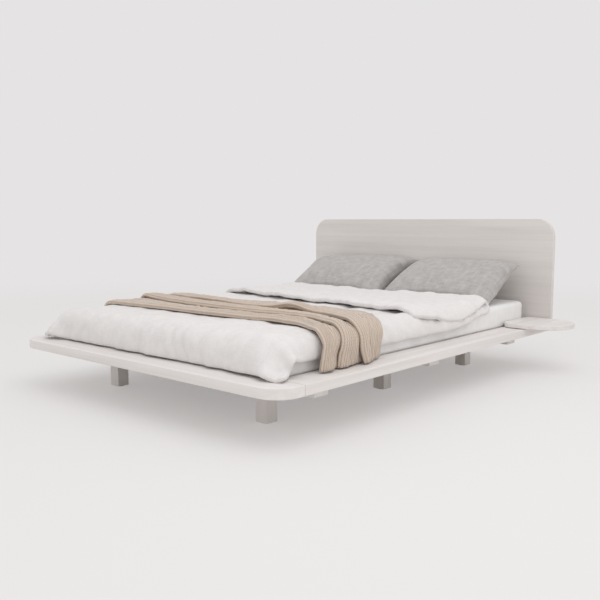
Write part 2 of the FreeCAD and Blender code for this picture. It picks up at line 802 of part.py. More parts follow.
def duvet_outline(hem):
    corner = cell("duvet_corner")
    front = -cell("duvet_side")
    wave = cell("duvet_wave")
    right = Vector(1, 0, 0)
    headwards = Vector(0, 1, 0)
    span = 2 * (half_width - corner)
    run = crease - corner - throw_end
    foot_left = Vector(-half_width + corner, front, hem)
    foot_right = Vector(half_width - corner, front, hem)
    edges = wavy_edges(foot_left, right, Vector(0, -1, 0), span, FOOT_WAVES, wave)
    right_low = Vector(half_width, front + corner, hem)
    right_throw = Vector(half_width, throw_end, hem)
    right_head = Vector(half_width, crease - corner, hem)
    edges.append(corner_edge(foot_right, right_low, Vector(half_width - corner, front + corner, hem)))
    edges.append(Part.makeLine(right_low, right_throw))
    edges += wavy_edges(right_throw, headwards, right, run, SIDE_WAVES, wave)
    head_right = Vector(half_width - corner, crease, hem)
    head_left = Vector(-half_width + corner, crease, hem)
    left_head = Vector(-half_width, crease - corner, hem)
    left_throw = Vector(-half_width, throw_end, hem)
    left_low = Vector(-half_width, front + corner, hem)
    edges.append(corner_edge(right_head, head_right, Vector(half_width - corner, crease - corner, hem)))
    edges.append(Part.makeLine(head_right, head_left))
    edges.append(corner_edge(head_left, left_head, Vector(-half_width + corner, crease - corner, hem)))
    edges += wavy_edges(left_head, -headwards, -right, run, SIDE_WAVES, wave)
    edges.append(Part.makeLine(left_throw, left_low))
    edges.append(corner_edge(left_low, foot_left, Vector(-half_width + corner, front + corner, hem)))
    return Part.Wire(edges)


def hem_prism():
    # Space under the side hems, rising from the throw to the head end
    wide = half_width + 2 * cell("duvet_wave")
    low = -cell("duvet_hem_lift")
    corner = cell("duvet_corner")

    def point(y, z):
        return Vector(-wide, y, z)

    begin = point(throw_end, low)
    side_hem = point(throw_end + corner, cell("duvet_side_hem_lift"))
    head_turn = point(crease - 2 * corner, cell("duvet_side_hem_lift"))
    head_hem = point(crease + corner, cell("duvet_head_hem_lift"))
    last = point(crease + corner, low)
    middle = (head_turn + head_hem) / 2
    sag = Vector(0, 0, (cell("duvet_head_hem_lift") - cell("duvet_side_hem_lift")) / 4)
    edges = [
        Part.makeLine(begin, side_hem),
        Part.makeLine(side_hem, head_turn),
        Part.Arc(head_turn, middle - sag, head_hem).toShape(),
        Part.makeLine(head_hem, last),
        Part.makeLine(last, begin),
    ]
    return Part.Face(Part.Wire(edges)).extrude(Vector(2 * wide, 0, 0))


def top_edges(solid):
    peak = solid.BoundBox.ZMax
    flat = cell("soft_gap")
    return [edge for edge in solid.Edges if edge.BoundBox.ZMin > peak - flat]


def fold_slab():
    # Spare length turned back over the duvet, its free edge slanting across the bed
    inset = half_width - cell("fold_inset")
    near_right = throw_end + cell("fold_throw_gap")
    near_left = near_right + cell("fold_slant")
    head = crease - cell("fold_inset")
    corners = [
        Vector(-inset, near_left, duvet_top),
        Vector(inset, near_right, duvet_top),
        Vector(inset, head, duvet_top),
        Vector(-inset, head, duvet_top),
    ]
    outline = Part.makePolygon(corners + corners[:1])
    slab = Part.Face(outline).extrude(Vector(0, 0, cell("fold_thick")))
    return slab.makeFillet(cell("fold_roll"), slab.Edges)


def duvet_shape():
    hem = cell("duvet_hem_lift")
    cover = Part.Face(duvet_outline(hem)).extrude(Vector(0, 0, duvet_top - hem))
    cover = cover.makeFillet(shoulder, top_edges(cover))
    half = cell("mattress_width") / 2 + gap
    depth = mattress_box.ZMax - rim_top + gap
    hollow = Part.makeBox(2 * half, crease + half, depth, Vector(-half, -gap, 0))
    return cover.cut(hollow).cut(hem_prism()).fuse(fold_slab()).removeSplitter()


duvet_place = FreeCAD.Placement(Vector(0, mattress_box.YMin, rim_top), FreeCAD.Rotation())
duvet = node(doc.addObject("Part::Feature", "duvet"))
duvet.Shape = duvet_shape().Solids[0]
duvet.Placement = duvet_place


def pleat_section(x, z):
    # Pleats lapped towards the foot: each nose stands on the pleat before it
    thick = cell("pleat_thick")
    nose = cell("pleat_nose")
    fall = cell("pleat_fall")
    step = cell("pleat_step")
    begin = cell("throw_start")

    def point(run, rise):
        return Vector(x - rise, begin + run, z)

    edges = []
    base = 0
    for pleat in range(PLEATS):
        run = pleat * step
        top = base + thick
        last = pleat == PLEATS - 1
        after, low = (throw_width, thick / 2) if last else (run + step, top - fall)
        tip = point(run - nose, base + thick / 2)
        crest = point((run + after) / 2, (top + low) / 2 + cell("pleat_crest"))
        edges.append(Part.Arc(point(run, base), tip, point(run, top)).toShape())
        edges.append(Part.Arc(point(run, top), crest, point(after, low)).toShape())
        base = low
    end = point(throw_width, thick / 2)
    edges.append(Part.Arc(end, point(throw_width + nose / 2, thick / 4), point(throw_width, 0)).toShape())
    edges.append(Part.makeLine(point(throw_width, 0), point(0, 0)))
    return Part.Wire(edges)


def throw_shape():
    # Swept up the left side, over both shoulders and down the right side
    out = half_width + gap
    top = duvet_top + gap
    bend = shoulder + gap
    slant = bend * math.sqrt(0.5)
    left_low = Vector(-out, 0, cell("throw_left_lift"))
    left_high = Vector(-out, 0, top - bend)
    left_top = Vector(-out + bend, 0, top)
    right_top = Vector(out - bend, 0, top)
    right_high = Vector(out, 0, top - bend)
    right_low = Vector(out, 0, gap)
    left_middle = Vector(-out + bend - slant, 0, top - bend + slant)
    right_middle = Vector(out - bend + slant, 0, top - bend + slant)
    path = Part.Wire([
        Part.makeLine(left_low, left_high),
        Part.Arc(left_high, left_middle, left_top).toShape(),
        Part.makeLine(left_top, right_top),
        Part.Arc(right_top, right_middle, right_high).toShape(),
        Part.makeLine(right_high, right_low),
    ])
    band = path.makePipeShell([pleat_section(left_low.x, left_low.z)], True, False)
    skew = FreeCAD.Matrix()
    skew.A21 = -cell("throw_skew") / (2 * out)
    return band.transformGeometry(skew)


throw = node(doc.addObject("Part::Feature", "throw"))
throw.Shape = throw_shape().Solids[0]
throw.Placement = duvet_place

doc.recompute()
failed = [item.Name for item in doc.Objects if "Invalid" in item.State or "Error" in item.State]
failed += [item.Label for item in nodes if item.Shape.isNull() or not item.Shape.isValid()]
if failed:
    raise RuntimeError("not built: " + ", ".join(failed))

os.makedirs("parts", exist_ok=True)
for item in nodes:
    item.Shape.exportStep(f"parts/{item.Label}.step")
print(f"{len(nodes)} nodes")
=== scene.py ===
import math
import bpy
import bmesh
import numpy as np
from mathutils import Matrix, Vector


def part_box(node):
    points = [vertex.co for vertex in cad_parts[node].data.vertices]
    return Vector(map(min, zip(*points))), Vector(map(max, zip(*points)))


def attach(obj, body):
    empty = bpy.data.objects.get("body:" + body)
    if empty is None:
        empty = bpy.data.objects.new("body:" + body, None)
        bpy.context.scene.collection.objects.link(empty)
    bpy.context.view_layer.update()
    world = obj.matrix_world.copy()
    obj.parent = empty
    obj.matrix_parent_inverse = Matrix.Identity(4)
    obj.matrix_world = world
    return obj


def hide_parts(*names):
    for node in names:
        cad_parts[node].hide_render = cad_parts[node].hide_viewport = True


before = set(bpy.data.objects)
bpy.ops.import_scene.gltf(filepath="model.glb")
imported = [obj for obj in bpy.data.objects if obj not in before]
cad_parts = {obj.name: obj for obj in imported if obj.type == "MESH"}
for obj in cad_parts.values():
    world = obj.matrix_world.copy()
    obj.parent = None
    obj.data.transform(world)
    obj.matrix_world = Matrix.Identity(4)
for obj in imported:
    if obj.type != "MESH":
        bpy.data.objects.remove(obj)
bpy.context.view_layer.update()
scene = bpy.context.scene
scene.view_settings.view_transform = "Standard"
print("frame loaded:", len(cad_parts), "nodes")

# where the bedding sits, read from the frame (metres)
mattressLow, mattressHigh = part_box("mattress")
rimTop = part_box("foot_rail")[1].z
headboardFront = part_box("headboard")[0].y
duvetLow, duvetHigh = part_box("duvet")


# helpers for grids, noise, meshes and cloth


def gridQuads(rows, cols, offset=0, flip=False):
    # corner numbers of every cell of a rows by cols grid
    start = (np.arange(rows - 1)[:, None] * cols + np.arange(cols - 1)[None, :]).ravel() + offset
    quads = np.stack([start, start + 1, start + cols + 1, start + cols], axis=1)
    return quads[:, ::-1] if flip else quads


def softNoise(shape, spread, seed):
    # white noise blurred by a Gaussian of the given spread in cells (rows, columns), scaled to deviation 1
    rng = np.random.default_rng(seed)
    rowWave = np.fft.fftfreq(shape[0])[:, None] * spread[0]
    colWave = np.fft.fftfreq(shape[1])[None, :] * spread[1]
    blur = np.exp(-2 * math.pi ** 2 * (rowWave ** 2 + colWave ** 2))
    field = np.real(np.fft.ifft2(np.fft.fft2(rng.standard_normal(shape)) * blur))
    return (field - field.mean()) / field.std()


def mixedNoise(shape, parts):
    # sum of soft noises, each given as its share, its spread in cells and its seed
    return sum(share * softNoise(shape, spread, seed) for share, spread, seed in parts)


def smoothStep(x):
    x = np.clip(x, 0, 1)
    return x * x * (3 - 2 * x)


def gridNormals(points):
    # cross product of the two grid directions at each point, unit length
    alongRows = np.gradient(points, axis=0)
    alongCols = np.gradient(points, axis=1)
    normals = np.cross(alongCols, alongRows)
    return normals / np.maximum(np.linalg.norm(normals, axis=2, keepdims=True), 1e-9)


def sampleGrid(points, rowAt, colAt):
    # reads a grid at fractional row and column numbers, straight-line between its points
    rowAt = np.clip(rowAt, 0, points.shape[0] - 1.001)
    colAt = np.clip(colAt, 0, points.shape[1] - 1.001)
    rowAt, colAt = np.broadcast_arrays(rowAt, colAt)
    row, col = rowAt.astype(int), colAt.astype(int)
    down, over = (rowAt - row)[..., None], (colAt - col)[..., None]
    near = points[row, col] * (1 - over) + points[row, col + 1] * over
    far = points[row + 1, col] * (1 - over) + points[row + 1, col + 1] * over
    return near * (1 - down) + far * down


def refine(points):
    # doubles a grid in both directions: each new point is nine sixteenths of its two neighbours' sum, less
    # one sixteenth of the next two
    for axis in (0, 1):
        grid = np.moveaxis(points, axis, 0)
        wide = np.concatenate([2 * grid[:1] - grid[1:2], grid, 2 * grid[-1:] - grid[-2:-1]])
        between = (9 * (grid[1:] + grid[:-1]) - wide[:-3] - wide[3:]) / 16
        finer = np.empty((2 * len(grid) - 1,) + grid.shape[1:])
        finer[0::2], finer[1::2] = grid, between
        points = np.moveaxis(finer, 0, axis)
    return points


def soften(points, rounds):
    # each inner point moved to a quarter of its two neighbours' sum plus half of itself, in both directions
    for axis in (0, 1) * rounds:
        grid = np.moveaxis(points, axis, 0).copy()
        grid[1:-1] = (grid[:-2] + 2 * grid[1:-1] + grid[2:]) / 4
        points = np.moveaxis(grid, 0, axis)
    return points


def meshPiece(name, points, quads, uv=None):
    mesh = bpy.data.meshes.new(name)
    mesh.from_pydata(points.reshape(-1, 3).tolist(), [], quads.tolist())
    if uv is not None:
        layer = mesh.uv_layers.new(name="flat")
        layer.data.foreach_set("uv", uv.reshape(-1, 2)[quads.ravel()].astype(np.float32).ravel())
    mesh.validate()
    mesh.shade_smooth()
    piece = bpy.data.objects.new(name, mesh)
    scene.collection.objects.link(piece)
    return piece


def mergeSeams(piece, close=False):
    work = bmesh.new()
    work.from_mesh(piece.data)
    bmesh.ops.remove_doubles(work, verts=work.verts, dist=1e-6)
    if close:
        bmesh.ops.holes_fill(work, edges=work.edges, sides=0)
    bmesh.ops.recalc_face_normals(work, faces=work.faces)
    work.to_mesh(piece.data)
    work.free()
    piece.data.shade_smooth()


def quiltShell(name, middle, uv, thick):
    # closed shell: the middle surface moved by half the thickness to each side, its edges joined by a strip
    rows, cols = middle.shape[:2]
    normals = gridNormals(middle)
    upper = middle + normals * thick[..., None] / 2
    lower = middle - normals * thick[..., None] / 2
    count = rows * cols
    index = np.arange(count).reshape(rows, cols)
    edge = np.concatenate([index[0, :], index[1:, -1], index[-1, -2::-1], index[-2:0:-1, 0]])
    after = np.roll(edge, -1)
    strip = np.stack([edge, after, after + count, edge + count], axis=1)
    quads = np.concatenate([gridQuads(rows, cols, 0, True), gridQuads(rows, cols, count), strip])
    piece = meshPiece(name, np.concatenate([upper.reshape(-1, 3), lower.reshape(-1, 3)]), quads,
                      np.concatenate([uv.reshape(-1, 2), uv.reshape(-1, 2)]))
    mergeSeams(piece)
    return piece


def roundBlock(name, low, high, corner, roll, perSide=72, detail=8):
    # an outline carried up a profile. Outline: the edge of a rectangle, each point pushed out from the inner
    # rectangle by the corner radius, closer together near the corners. Profile: in under the block, round the
    # lower roll, up the side, round the upper roll and in over the top, as how far each ring is drawn in and
    # its height
    half = (np.array(high) - np.array(low)) / 2
    centre = (np.array(high) + np.array(low)) / 2
    walk = np.linspace(0, 4, 4 * perSide, endpoint=False)
    side, run = walk.astype(int), np.sin(math.pi * (walk % 1 - 0.5))
    one = np.ones_like(run)
    square = [np.choose(side, [run, one, -run, -one]), np.choose(side, [-one, run, one, -run])]
    edge = np.stack(square, axis=1) * half[:2]
    anchor = np.clip(edge, corner - half[:2], half[:2] - corner)
    outward = (edge - anchor) / np.linalg.norm(edge - anchor, axis=1, keepdims=True)
    bend = np.linspace(0, math.pi / 2, detail + 1)
    wall = np.linspace(roll - half[2], half[2] - roll, detail)[1:-1]
    drawnIn = np.concatenate([roll - roll * np.sin(bend), 0 * wall, roll - roll * np.cos(bend)])
    level = np.concatenate([roll - half[2] - roll * np.cos(bend), wall, half[2] - roll + roll * np.sin(bend)])
    plan = anchor[None] + outward[None] * (corner - drawnIn)[:, None, None]
    # flat top and bottom: the last ring shrunk almost to the middle
    inwards = np.linspace(1, 0.01, 2 * detail)[1:, None, None]
    plan = np.concatenate([plan[:1] * inwards[::-1], plan, plan[-1:] * inwards])
    level = np.concatenate([np.full(len(inwards), level[0]), level, np.full(len(inwards), level[-1])])
    levels = np.broadcast_to(level[:, None, None], plan.shape[:2] + (1,))
    rings = np.concatenate([plan, levels], axis=2) + centre
    wrapped = np.concatenate([rings, rings[:, :1]], axis=1)
    piece = meshPiece(name, wrapped, gridQuads(*wrapped.shape[:2]))
    mergeSeams(piece, close=True)
    return piece


clothShared = {
    "bendDamping": 1.0,
    "inner": 0.01,  # depth inside a form's skin from which cloth is pushed out
    "gap": 0.003,  # kept outside the cloth
    "damping": 0.6,
    "quality": 2,
    "selfFriction": 5,
}


def collider(piece, gap, friction):
    piece.modifiers.new("touch", "COLLISION")
    piece.collision.thickness_outer = gap
    piece.collision.thickness_inner = clothShared["inner"]
    piece.collision.cloth_friction = friction
    piece.collision.damping = clothShared["damping"]
    return piece


def dropScratch(piece):
    mesh = piece.data
    bpy.data.objects.remove(piece)
    bpy.data.meshes.remove(mesh)


def settle(name, points, quads, values, held=None):
    # runs Blender's cloth on a scratch copy and gives back where its points came to rest
    scratch = meshPiece(name, points, quads)
    cloth = scratch.modifiers.new("cloth", "CLOTH")
    fabric, touch = cloth.settings, cloth.collision_settings
    fabric.quality = values["quality"]
    fabric.mass = values["mass"]
    fabric.air_damping = values["air"]
    fabric.tension_stiffness = fabric.compression_stiffness = values["stretch"]
    fabric.shear_stiffness = values["shear"]
    fabric.bending_stiffness = values["bending"]
    fabric.tension_damping = fabric.compression_damping = fabric.shear_damping = values["damping"]
    fabric.bending_damping = clothShared["bendDamping"]
    fabric.shrink_min = values.get("shrink", 0.0)
    fabric.effector_weights.gravity = values.get("gravity", 1.0)
    if "pressure" in values:
        fabric.use_pressure = True
        fabric.uniform_pressure_force = values["pressure"]
    if held is not None:
        group = scratch.vertex_groups.new(name="held")
        group.add(held.tolist(), 1.0, "REPLACE")
        fabric.vertex_group_mass = "held"
    touch.use_collision = values.get("collide", True)
    touch.distance_min = clothShared["gap"]
    touch.collision_quality = clothShared["quality"]
    touch.use_self_collision = "selfGap" in values
    if "selfGap" in values:
        touch.self_distance_min = values["selfGap"]
        touch.self_friction = clothShared["selfFriction"]
    cloth.point_cache.frame_start = 1
    cloth.point_cache.frame_end = values["frames"]
    scene.frame_start, scene.frame_end = 1, values["frames"]
    for step in range(1, values["frames"] + 1):
        scene.frame_set(step)
    settled = np.empty(len(scratch.data.vertices) * 3, np.float32)
    rested = scratch.evaluated_get(bpy.context.evaluated_depsgraph_get())
    rested.data.vertices.foreach_get("co", settled)
    scene.frame_set(1)
    dropScratch(scratch)
    return settled.reshape(points.shape).astype(float)


# helpers for node trees


def addNode(tree, kind, place, **values):
    made = tree.nodes.new(kind)
    made.location = (place[0] * 190, place[1] * -170)  # columns and rows of the node editor
    for key, value in values.items():
        if key in made.inputs:
            made.inputs[key].default_value = value
        else:
            setattr(made, key, value)
    return made


def join(tree, *pairs):
    for output, target in pairs:
        tree.links.new(output, target)


def compute(tree, place, operation, *terms):
    # arithmetic on numbers and on other nodes' outputs; gives back the result's output
    made = addNode(tree, "ShaderNodeMath", place, operation=operation)
    for number, term in enumerate(terms):
        if isinstance(term, (int, float)):
            made.inputs[number].default_value = term
        else:
            join(tree, (term, made.inputs[number]))
    return made.outputs[0]


def spanned(tree, place, value, start=(0, 1), end=(0, 1), **more):
    # a value carried from one range to another
    made = addNode(tree, "ShaderNodeMapRange", place, **more)
    for label, span in (("From", start), ("To", end)):
        made.inputs[label + " Min"].default_value = span[0]
        made.inputs[label + " Max"].default_value = span[1]
    join(tree, (value, made.inputs["Value"]))
    return made.outputs["Result"]


def noisy(tree, place, vector, scale, **values):
    # noise on a vector scaled along each axis
    stretch = addNode(tree, "ShaderNodeMapping", place, Scale=scale)
    noise = addNode(tree, "ShaderNodeTexNoise", (place[0] + 1, place[1]), Scale=1.0, **values)
    join(tree, (vector, stretch.inputs["Vector"]), (stretch.outputs[0], noise.inputs["Vector"]))
    return noise.outputs[0]


def tinted(tree, place, share, first, second):
    # the first colour turned into the second by a share; the second is an output or a plain colour
    made = addNode(tree, "ShaderNodeMix", place, data_type="RGBA")
    join(tree, (share, made.inputs["Factor"]), (first, made.inputs["A"]))
    if isinstance(second, tuple):
        made.inputs["B"].default_value = second
    else:
        join(tree, (second, made.inputs["B"]))
    return made.outputs["Result"]


def splitAxes(tree, place, vector):
    made = addNode(tree, "ShaderNodeSeparateXYZ", place)
    join(tree, (vector, made.inputs[0]))
    return made.outputs


def pickSurface(tree, share, first, second, outKind):
    # the tree's surface: the first shader turned into the second by a share
    pick = addNode(tree, "ShaderNodeMixShader", (4, 0))
    out = addNode(tree, outKind, (5, 0))
    join(tree, (share, pick.inputs["Fac"]), (first.outputs[0], pick.inputs[1]),
         (second.outputs[0], pick.inputs[2]), (pick.outputs[0], out.inputs["Surface"]))


# camera, floor and light

view = {
    "place": (2.4292, -2.7914, 0.7756),
    "turn": 41.48,  # degrees round from the foot end
    "down": 6.12,
    "lens": 44.0,
    "sensor": 36,
    "far": 60,
}
camera = bpy.data.objects.new("camera", bpy.data.cameras.new("camera"))
camera.location = view["place"]
camera.rotation_euler = (math.radians(90 - view["down"]), 0, math.radians(view["turn"]))
camera.data.lens = view["lens"]
camera.data.sensor_width = view["sensor"]
camera.data.clip_end = view["far"]
scene.collection.objects.link(camera)
scene.camera = camera

studio = {
    "sky": 0.87,
    "skyTint": (1, 0.995, 0.985, 1),
    "backdrop": (0.785, 0.77, 0.775, 1),
    "floor": (0.83, 0.815, 0.805, 1),
    "floorReach": 14.0,
    "floorLift": 0.42,  # share of the backdrop's tone that the camera sees in the floor's shadows
    "fadeFrom": 3.2,  # distances between which the floor turns into the backdrop
    "fadeTo": 7.0,
    "lampPlace": (1.9, -0.9, 3.4),
    "lampAim": (0.0, -0.1, 0.2),
    "lampSize": 3.2,
    "lampWatts": 34.0,
}


def makeWorld():
    # the bed is lit by the sky, while the camera and reflections see the backdrop
    world = bpy.data.worlds.new("studio")
    scene.world = world
    world.use_nodes = True
    tree = world.node_tree
    tree.nodes.clear()
    rays = addNode(tree, "ShaderNodeLightPath", (0, 0)).outputs
    shiny = compute(tree, (1, 0), "MAXIMUM", rays["Is Glossy Ray"], rays["Is Transmission Ray"])
    seen = compute(tree, (2, 0), "MAXIMUM", shiny, rays["Is Camera Ray"])
    lit = addNode(tree, "ShaderNodeBackground", (2, 1), Color=studio["skyTint"], Strength=studio["sky"])
    wall = addNode(tree, "ShaderNodeBackground", (2, 2), Color=studio["backdrop"], Strength=1.0)
    pickSurface(tree, seen, lit, wall, "ShaderNodeOutputWorld")


def makeFloor():
    # a matt floor that turns into the backdrop far away, for the camera alone
    mesh = bpy.data.meshes.new("studioFloor")
    reach = studio["floorReach"]
    corners = [(x * reach, y * reach, 0) for x, y in ((-1, -1), (1, -1), (1, 1), (-1, 1))]
    mesh.from_pydata(corners, [], [(0, 1, 2, 3)])
    floor = bpy.data.objects.new("studioFloor", mesh)
    scene.collection.objects.link(floor)
    paint = bpy.data.materials.new("paleFloor")
    paint.use_nodes = True
    tree = paint.node_tree
    tree.nodes.clear()
    where = addNode(tree, "ShaderNodeTexCoord", (0, 0))
    far = addNode(tree, "ShaderNodeVectorMath", (1, 0), operation="LENGTH")
    join(tree, (where.outputs["Object"], far.inputs[0]))
    fade = spanned(tree, (2, 0), far.outputs["Value"], (studio["fadeFrom"], studio["fadeTo"]),
                   (studio["floorLift"], 1), interpolation_type="SMOOTHSTEP")
    rays = addNode(tree, "ShaderNodeLightPath", (1, 2)).outputs
    seen = compute(tree, (3, 0), "MULTIPLY", fade, rays["Is Camera Ray"])
    matt = addNode(tree, "ShaderNodeBsdfDiffuse", (2, 1), Color=studio["floor"])
    glow = addNode(tree, "ShaderNodeEmission", (2, 2), Color=studio["backdrop"], Strength=1.0)
    pickSurface(tree, seen, matt, glow, "ShaderNodeOutputMaterial")
    mesh.materials.append(paint)


def makeLamp():
    lamp = bpy.data.lights.new("softOverhead", "AREA")
    lamp.shape = "SQUARE"
    lamp.size = studio["lampSize"]
    lamp.energy = studio["lampWatts"]
    holder = bpy.data.objects.new("softOverhead", lamp)
    holder.location = studio["lampPlace"]
    back = np.array(studio["lampPlace"]) - np.array(studio["lampAim"])
    away = math.hypot(back[0], back[1])
    holder.rotation_euler = (math.atan2(away, back[2]), 0, math.atan2(back[0], -back[1]))
    scene.collection.objects.link(holder)


makeWorld()
makeFloor()
makeLamp()
print("studio set")


# finishes


def newGroup(name, **numbers):
    # every group takes a vector, two tones and numbers of its own, and gives colour, roughness and height
    group = bpy.data.node_groups.new(name, "ShaderNodeTree")
    taken = [("Vector", "Vector"), ("Light", "Color"), ("Dark", "Color")]
    taken += [(label, "Float") for label in numbers]
    for label, kind in taken:
        socket = group.interface.new_socket(label, in_out="INPUT", socket_type="NodeSocket" + kind)
        if label in numbers:
            socket.default_value = numbers[label]
    for label, kind in (("Color", "Color"), ("Roughness", "Float"), ("Height", "Float")):
        group.interface.new_socket(label, in_out="OUTPUT", socket_type="NodeSocket" + kind)
    entry = addNode(group, "NodeGroupInput", (-1, 0))
    leave = addNode(group, "NodeGroupOutput", (8, 0))
    return group, entry.outputs, leave.inputs


grainMake = {
    "streaks": (0.9, 26, 26),  # noise per metre along and across the grain
    "pores": (5, 240, 240),
    "wash": (1.2, 4, 4),
    "streakSpan": (0.32, 0.68),
    "streakShare": 0.55,  # what the streaks, the pores and the wash each add to the tone
    "poreShare": 0.34,
    "washShare": 0.34,
    "toneSpan": (0.15, 0.85),
    "roughness": (0.62, 0.48),
    "poreRise": 0.4,
    "lineHalf": (0.0006, 0.0022),  # distances from a joint's middle at which its line is full and gone
    "lineShare": 0.7,
    "lineTone": (0.22, 0.205, 0.195, 1),
    "noJoint": 100.0,  # a place beyond every plank
}


def plankGrain():
    # grain runs along X of the incoming vector: long streaks, fine pores and cloudy brushed-on wash. A thin
    # dark line marks the joint where another plank meets this one, at a place along the grain
    make = grainMake
    group, entry, leave = newGroup("plankGrain", Streaks=1.0, Joint=make["noJoint"])
    vector = entry["Vector"]
    streaks = noisy(group, (0, 0), vector, make["streaks"], Detail=5.0, Roughness=0.6, Distortion=0.35)
    pores = noisy(group, (0, 1), vector, make["pores"], Detail=3.0, Roughness=0.55)
    wash = noisy(group, (0, 2), vector, make["wash"], Detail=3.0, Roughness=0.5)
    share = compute(group, (2, 3), "MULTIPLY", entry["Streaks"], make["streakShare"])
    clear = spanned(group, (2, 0), streaks, make["streakSpan"])
    tone = compute(group, (3, 0), "MULTIPLY", clear, share)
    tone = compute(group, (3, 1), "MULTIPLY_ADD", pores, make["poreShare"], tone)
    tone = compute(group, (4, 1), "MULTIPLY_ADD", wash, make["washShare"], tone)
    level = spanned(group, (5, 0), tone, make["toneSpan"])
    along = splitAxes(group, (0, 4), vector)["X"]
    past = compute(group, (1, 4), "SUBTRACT", along, entry["Joint"])
    away = compute(group, (2, 4), "ABSOLUTE", past)
    line = spanned(group, (3, 4), away, make["lineHalf"], (make["lineShare"], 0))
    plain = tinted(group, (6, 0), level, entry["Dark"], entry["Light"])
    lined = tinted(group, (7, 0), line, plain, make["lineTone"])
    rough = spanned(group, (6, 2), level, end=make["roughness"])
    rise = compute(group, (6, 3), "MULTIPLY_ADD", pores, make["poreRise"], streaks)
    join(group, (lined, leave["Color"]), (rough, leave["Roughness"]), (rise, leave["Height"]))
    return group


weaveMake = {
    "weft": (28, 420, 1),  # noise per metre of the thicker threads each way
    "warp": (420, 28, 1),
    "clouds": (22, 22, 22),
    "slubShare": 0.7,
    "toneSpan": (0.92, 1.48),
    "roughness": (0.92, 0.8),
    "threadRise": 0.25,
}


def clothWeave():
    # plain weave on the cloth's own flat map: a sine each way, multiplied, with thicker threads here and
    # there and soft clouds of tone
    make = weaveMake
    group, entry, leave = newGroup("clothWeave", Threads=0.0, Slubs=1.0)
    axes = splitAxes(group, (0, 0), entry["Vector"])
    waves = []
    for row, axis in enumerate("XY"):
        turns = compute(group, (1, row), "MULTIPLY", axes[axis], entry["Threads"])
        waves.append(compute(group, (2, row), "SINE", turns))
    cross = compute(group, (3, 0), "MULTIPLY", *waves)
    coarse = addNode(group, "ShaderNodeVectorMath", (-0.5, 2), operation="SCALE")
    join(group, (entry["Vector"], coarse.inputs[0]), (entry["Slubs"], coarse.inputs["Scale"]))
    weft = noisy(group, (0, 2), coarse.outputs[0], make["weft"], Detail=2.0)
    warp = noisy(group, (0, 3), coarse.outputs[0], make["warp"], Detail=2.0)
    clouds = noisy(group, (0, 4), entry["Vector"], make["clouds"], Detail=4.0, Roughness=0.6)
    slubs = compute(group, (2, 2), "ADD", weft, warp)
    tone = compute(group, (3, 3), "MULTIPLY_ADD", slubs, make["slubShare"], clouds)
    level = spanned(group, (4, 2), tone, make["toneSpan"])
    paint = tinted(group, (5, 0), level, entry["Dark"], entry["Light"])
    rough = spanned(group, (5, 2), level, end=make["roughness"])
    rise = compute(group, (5, 3), "MULTIPLY_ADD", cross, make["threadRise"], slubs)
    join(group, (paint, leave["Color"]), (rough, leave["Roughness"]), (rise, leave["Height"]))
    return group


knitMake = {
    "fuzz": (420, 420, 420),  # noise per metre of the fuzz and of the patches of tone
    "patches": (14, 14, 14),
    "slant": -0.7,  # stitches that the groove lags behind the rib's middle
    "hollow": -0.62,  # what the square of the way to the groove adds to a rib, and its middle's height
    "middle": 0.72,
    "stitchRise": 0.16,
    "fuzzRise": 0.5,
    "patchShare": 0.3,
    "toneSpan": (0.3, 1.3),
    "roughness": (0.98, 0.82),
}


def knitRibs():
    # ribs across the first map direction and slanted stitches along the second, meeting as a V on each rib
    make = knitMake
    group, entry, leave = newGroup("knitRibs", Rib=1.0, Stitch=1.0)
    axes = splitAxes(group, (0, 0), entry["Vector"])
    fuzz = noisy(group, (0, 3), entry["Vector"], make["fuzz"], Detail=3.0, Roughness=0.65)
    patches = noisy(group, (0, 4), entry["Vector"], make["patches"], Detail=2.0)
    inRib = compute(group, (2, 0), "FRACT", compute(group, (1, 0), "DIVIDE", axes["X"], entry["Rib"]))
    # how far off the rib's middle: 0 on the rib, 1 in the groove
    offMiddle = compute(group, (4, 0), "ABSOLUTE", compute(group, (3, 0), "MULTIPLY_ADD", inRib, 2, -1))
    rowAt = compute(group, (1, 1), "DIVIDE", axes["Y"], entry["Stitch"])
    slanted = compute(group, (5, 1), "MULTIPLY_ADD", offMiddle, make["slant"], rowAt)
    stitch = compute(group, (6, 1), "SINE", compute(group, (5, 2), "MULTIPLY", slanted, 2 * math.pi))
    square = compute(group, (4, 1), "MULTIPLY", offMiddle, offMiddle)
    dome = compute(group, (5, 0), "MULTIPLY_ADD", square, make["hollow"], make["middle"])
    rise = compute(group, (6, 0), "MULTIPLY_ADD", stitch, make["stitchRise"], dome)
    hairy = compute(group, (6, 3), "MULTIPLY_ADD", fuzz, make["fuzzRise"], rise)
    # painted shade: the colour follows the ribs' and stitches' height, so the grooves between them are
    # painted darker; the patches are the yarn's own tone
    tone = compute(group, (6, 4), "MULTIPLY_ADD", patches, make["patchShare"], hairy)
    level = spanned(group, (7, 2), tone, make["toneSpan"])
    paint = tinted(group, (7, 0), level, entry["Dark"], entry["Light"])
    rough = spanned(group, (7, 3), level, end=make["roughness"])
    join(group, (paint, leave["Color"]), (rough, leave["Roughness"]), (hairy, leave["Height"]))
    return group


metalMake = {
    "marks": (60, 60, 1400),  # noise per metre of the turning marks and of the clouds
    "clouds": (90, 90, 90),
    "roughness": (0.26, 0.48),
}


def metalBrush():
    # fine turning marks in the gloss and a cloudy change of tone
    make = metalMake
    group, entry, leave = newGroup("metalBrush")
    marks = noisy(group, (0, 0), entry["Vector"], make["marks"], Detail=2.0)
    clouds = noisy(group, (0, 1), entry["Vector"], make["clouds"], Detail=3.0)
    paint = tinted(group, (3, 0), clouds, entry["Dark"], entry["Light"])
    rough = spanned(group, (3, 1), marks, end=make["roughness"])
    join(group, (paint, leave["Color"]), (rough, leave["Roughness"]), (marks, leave["Height"]))
    return group


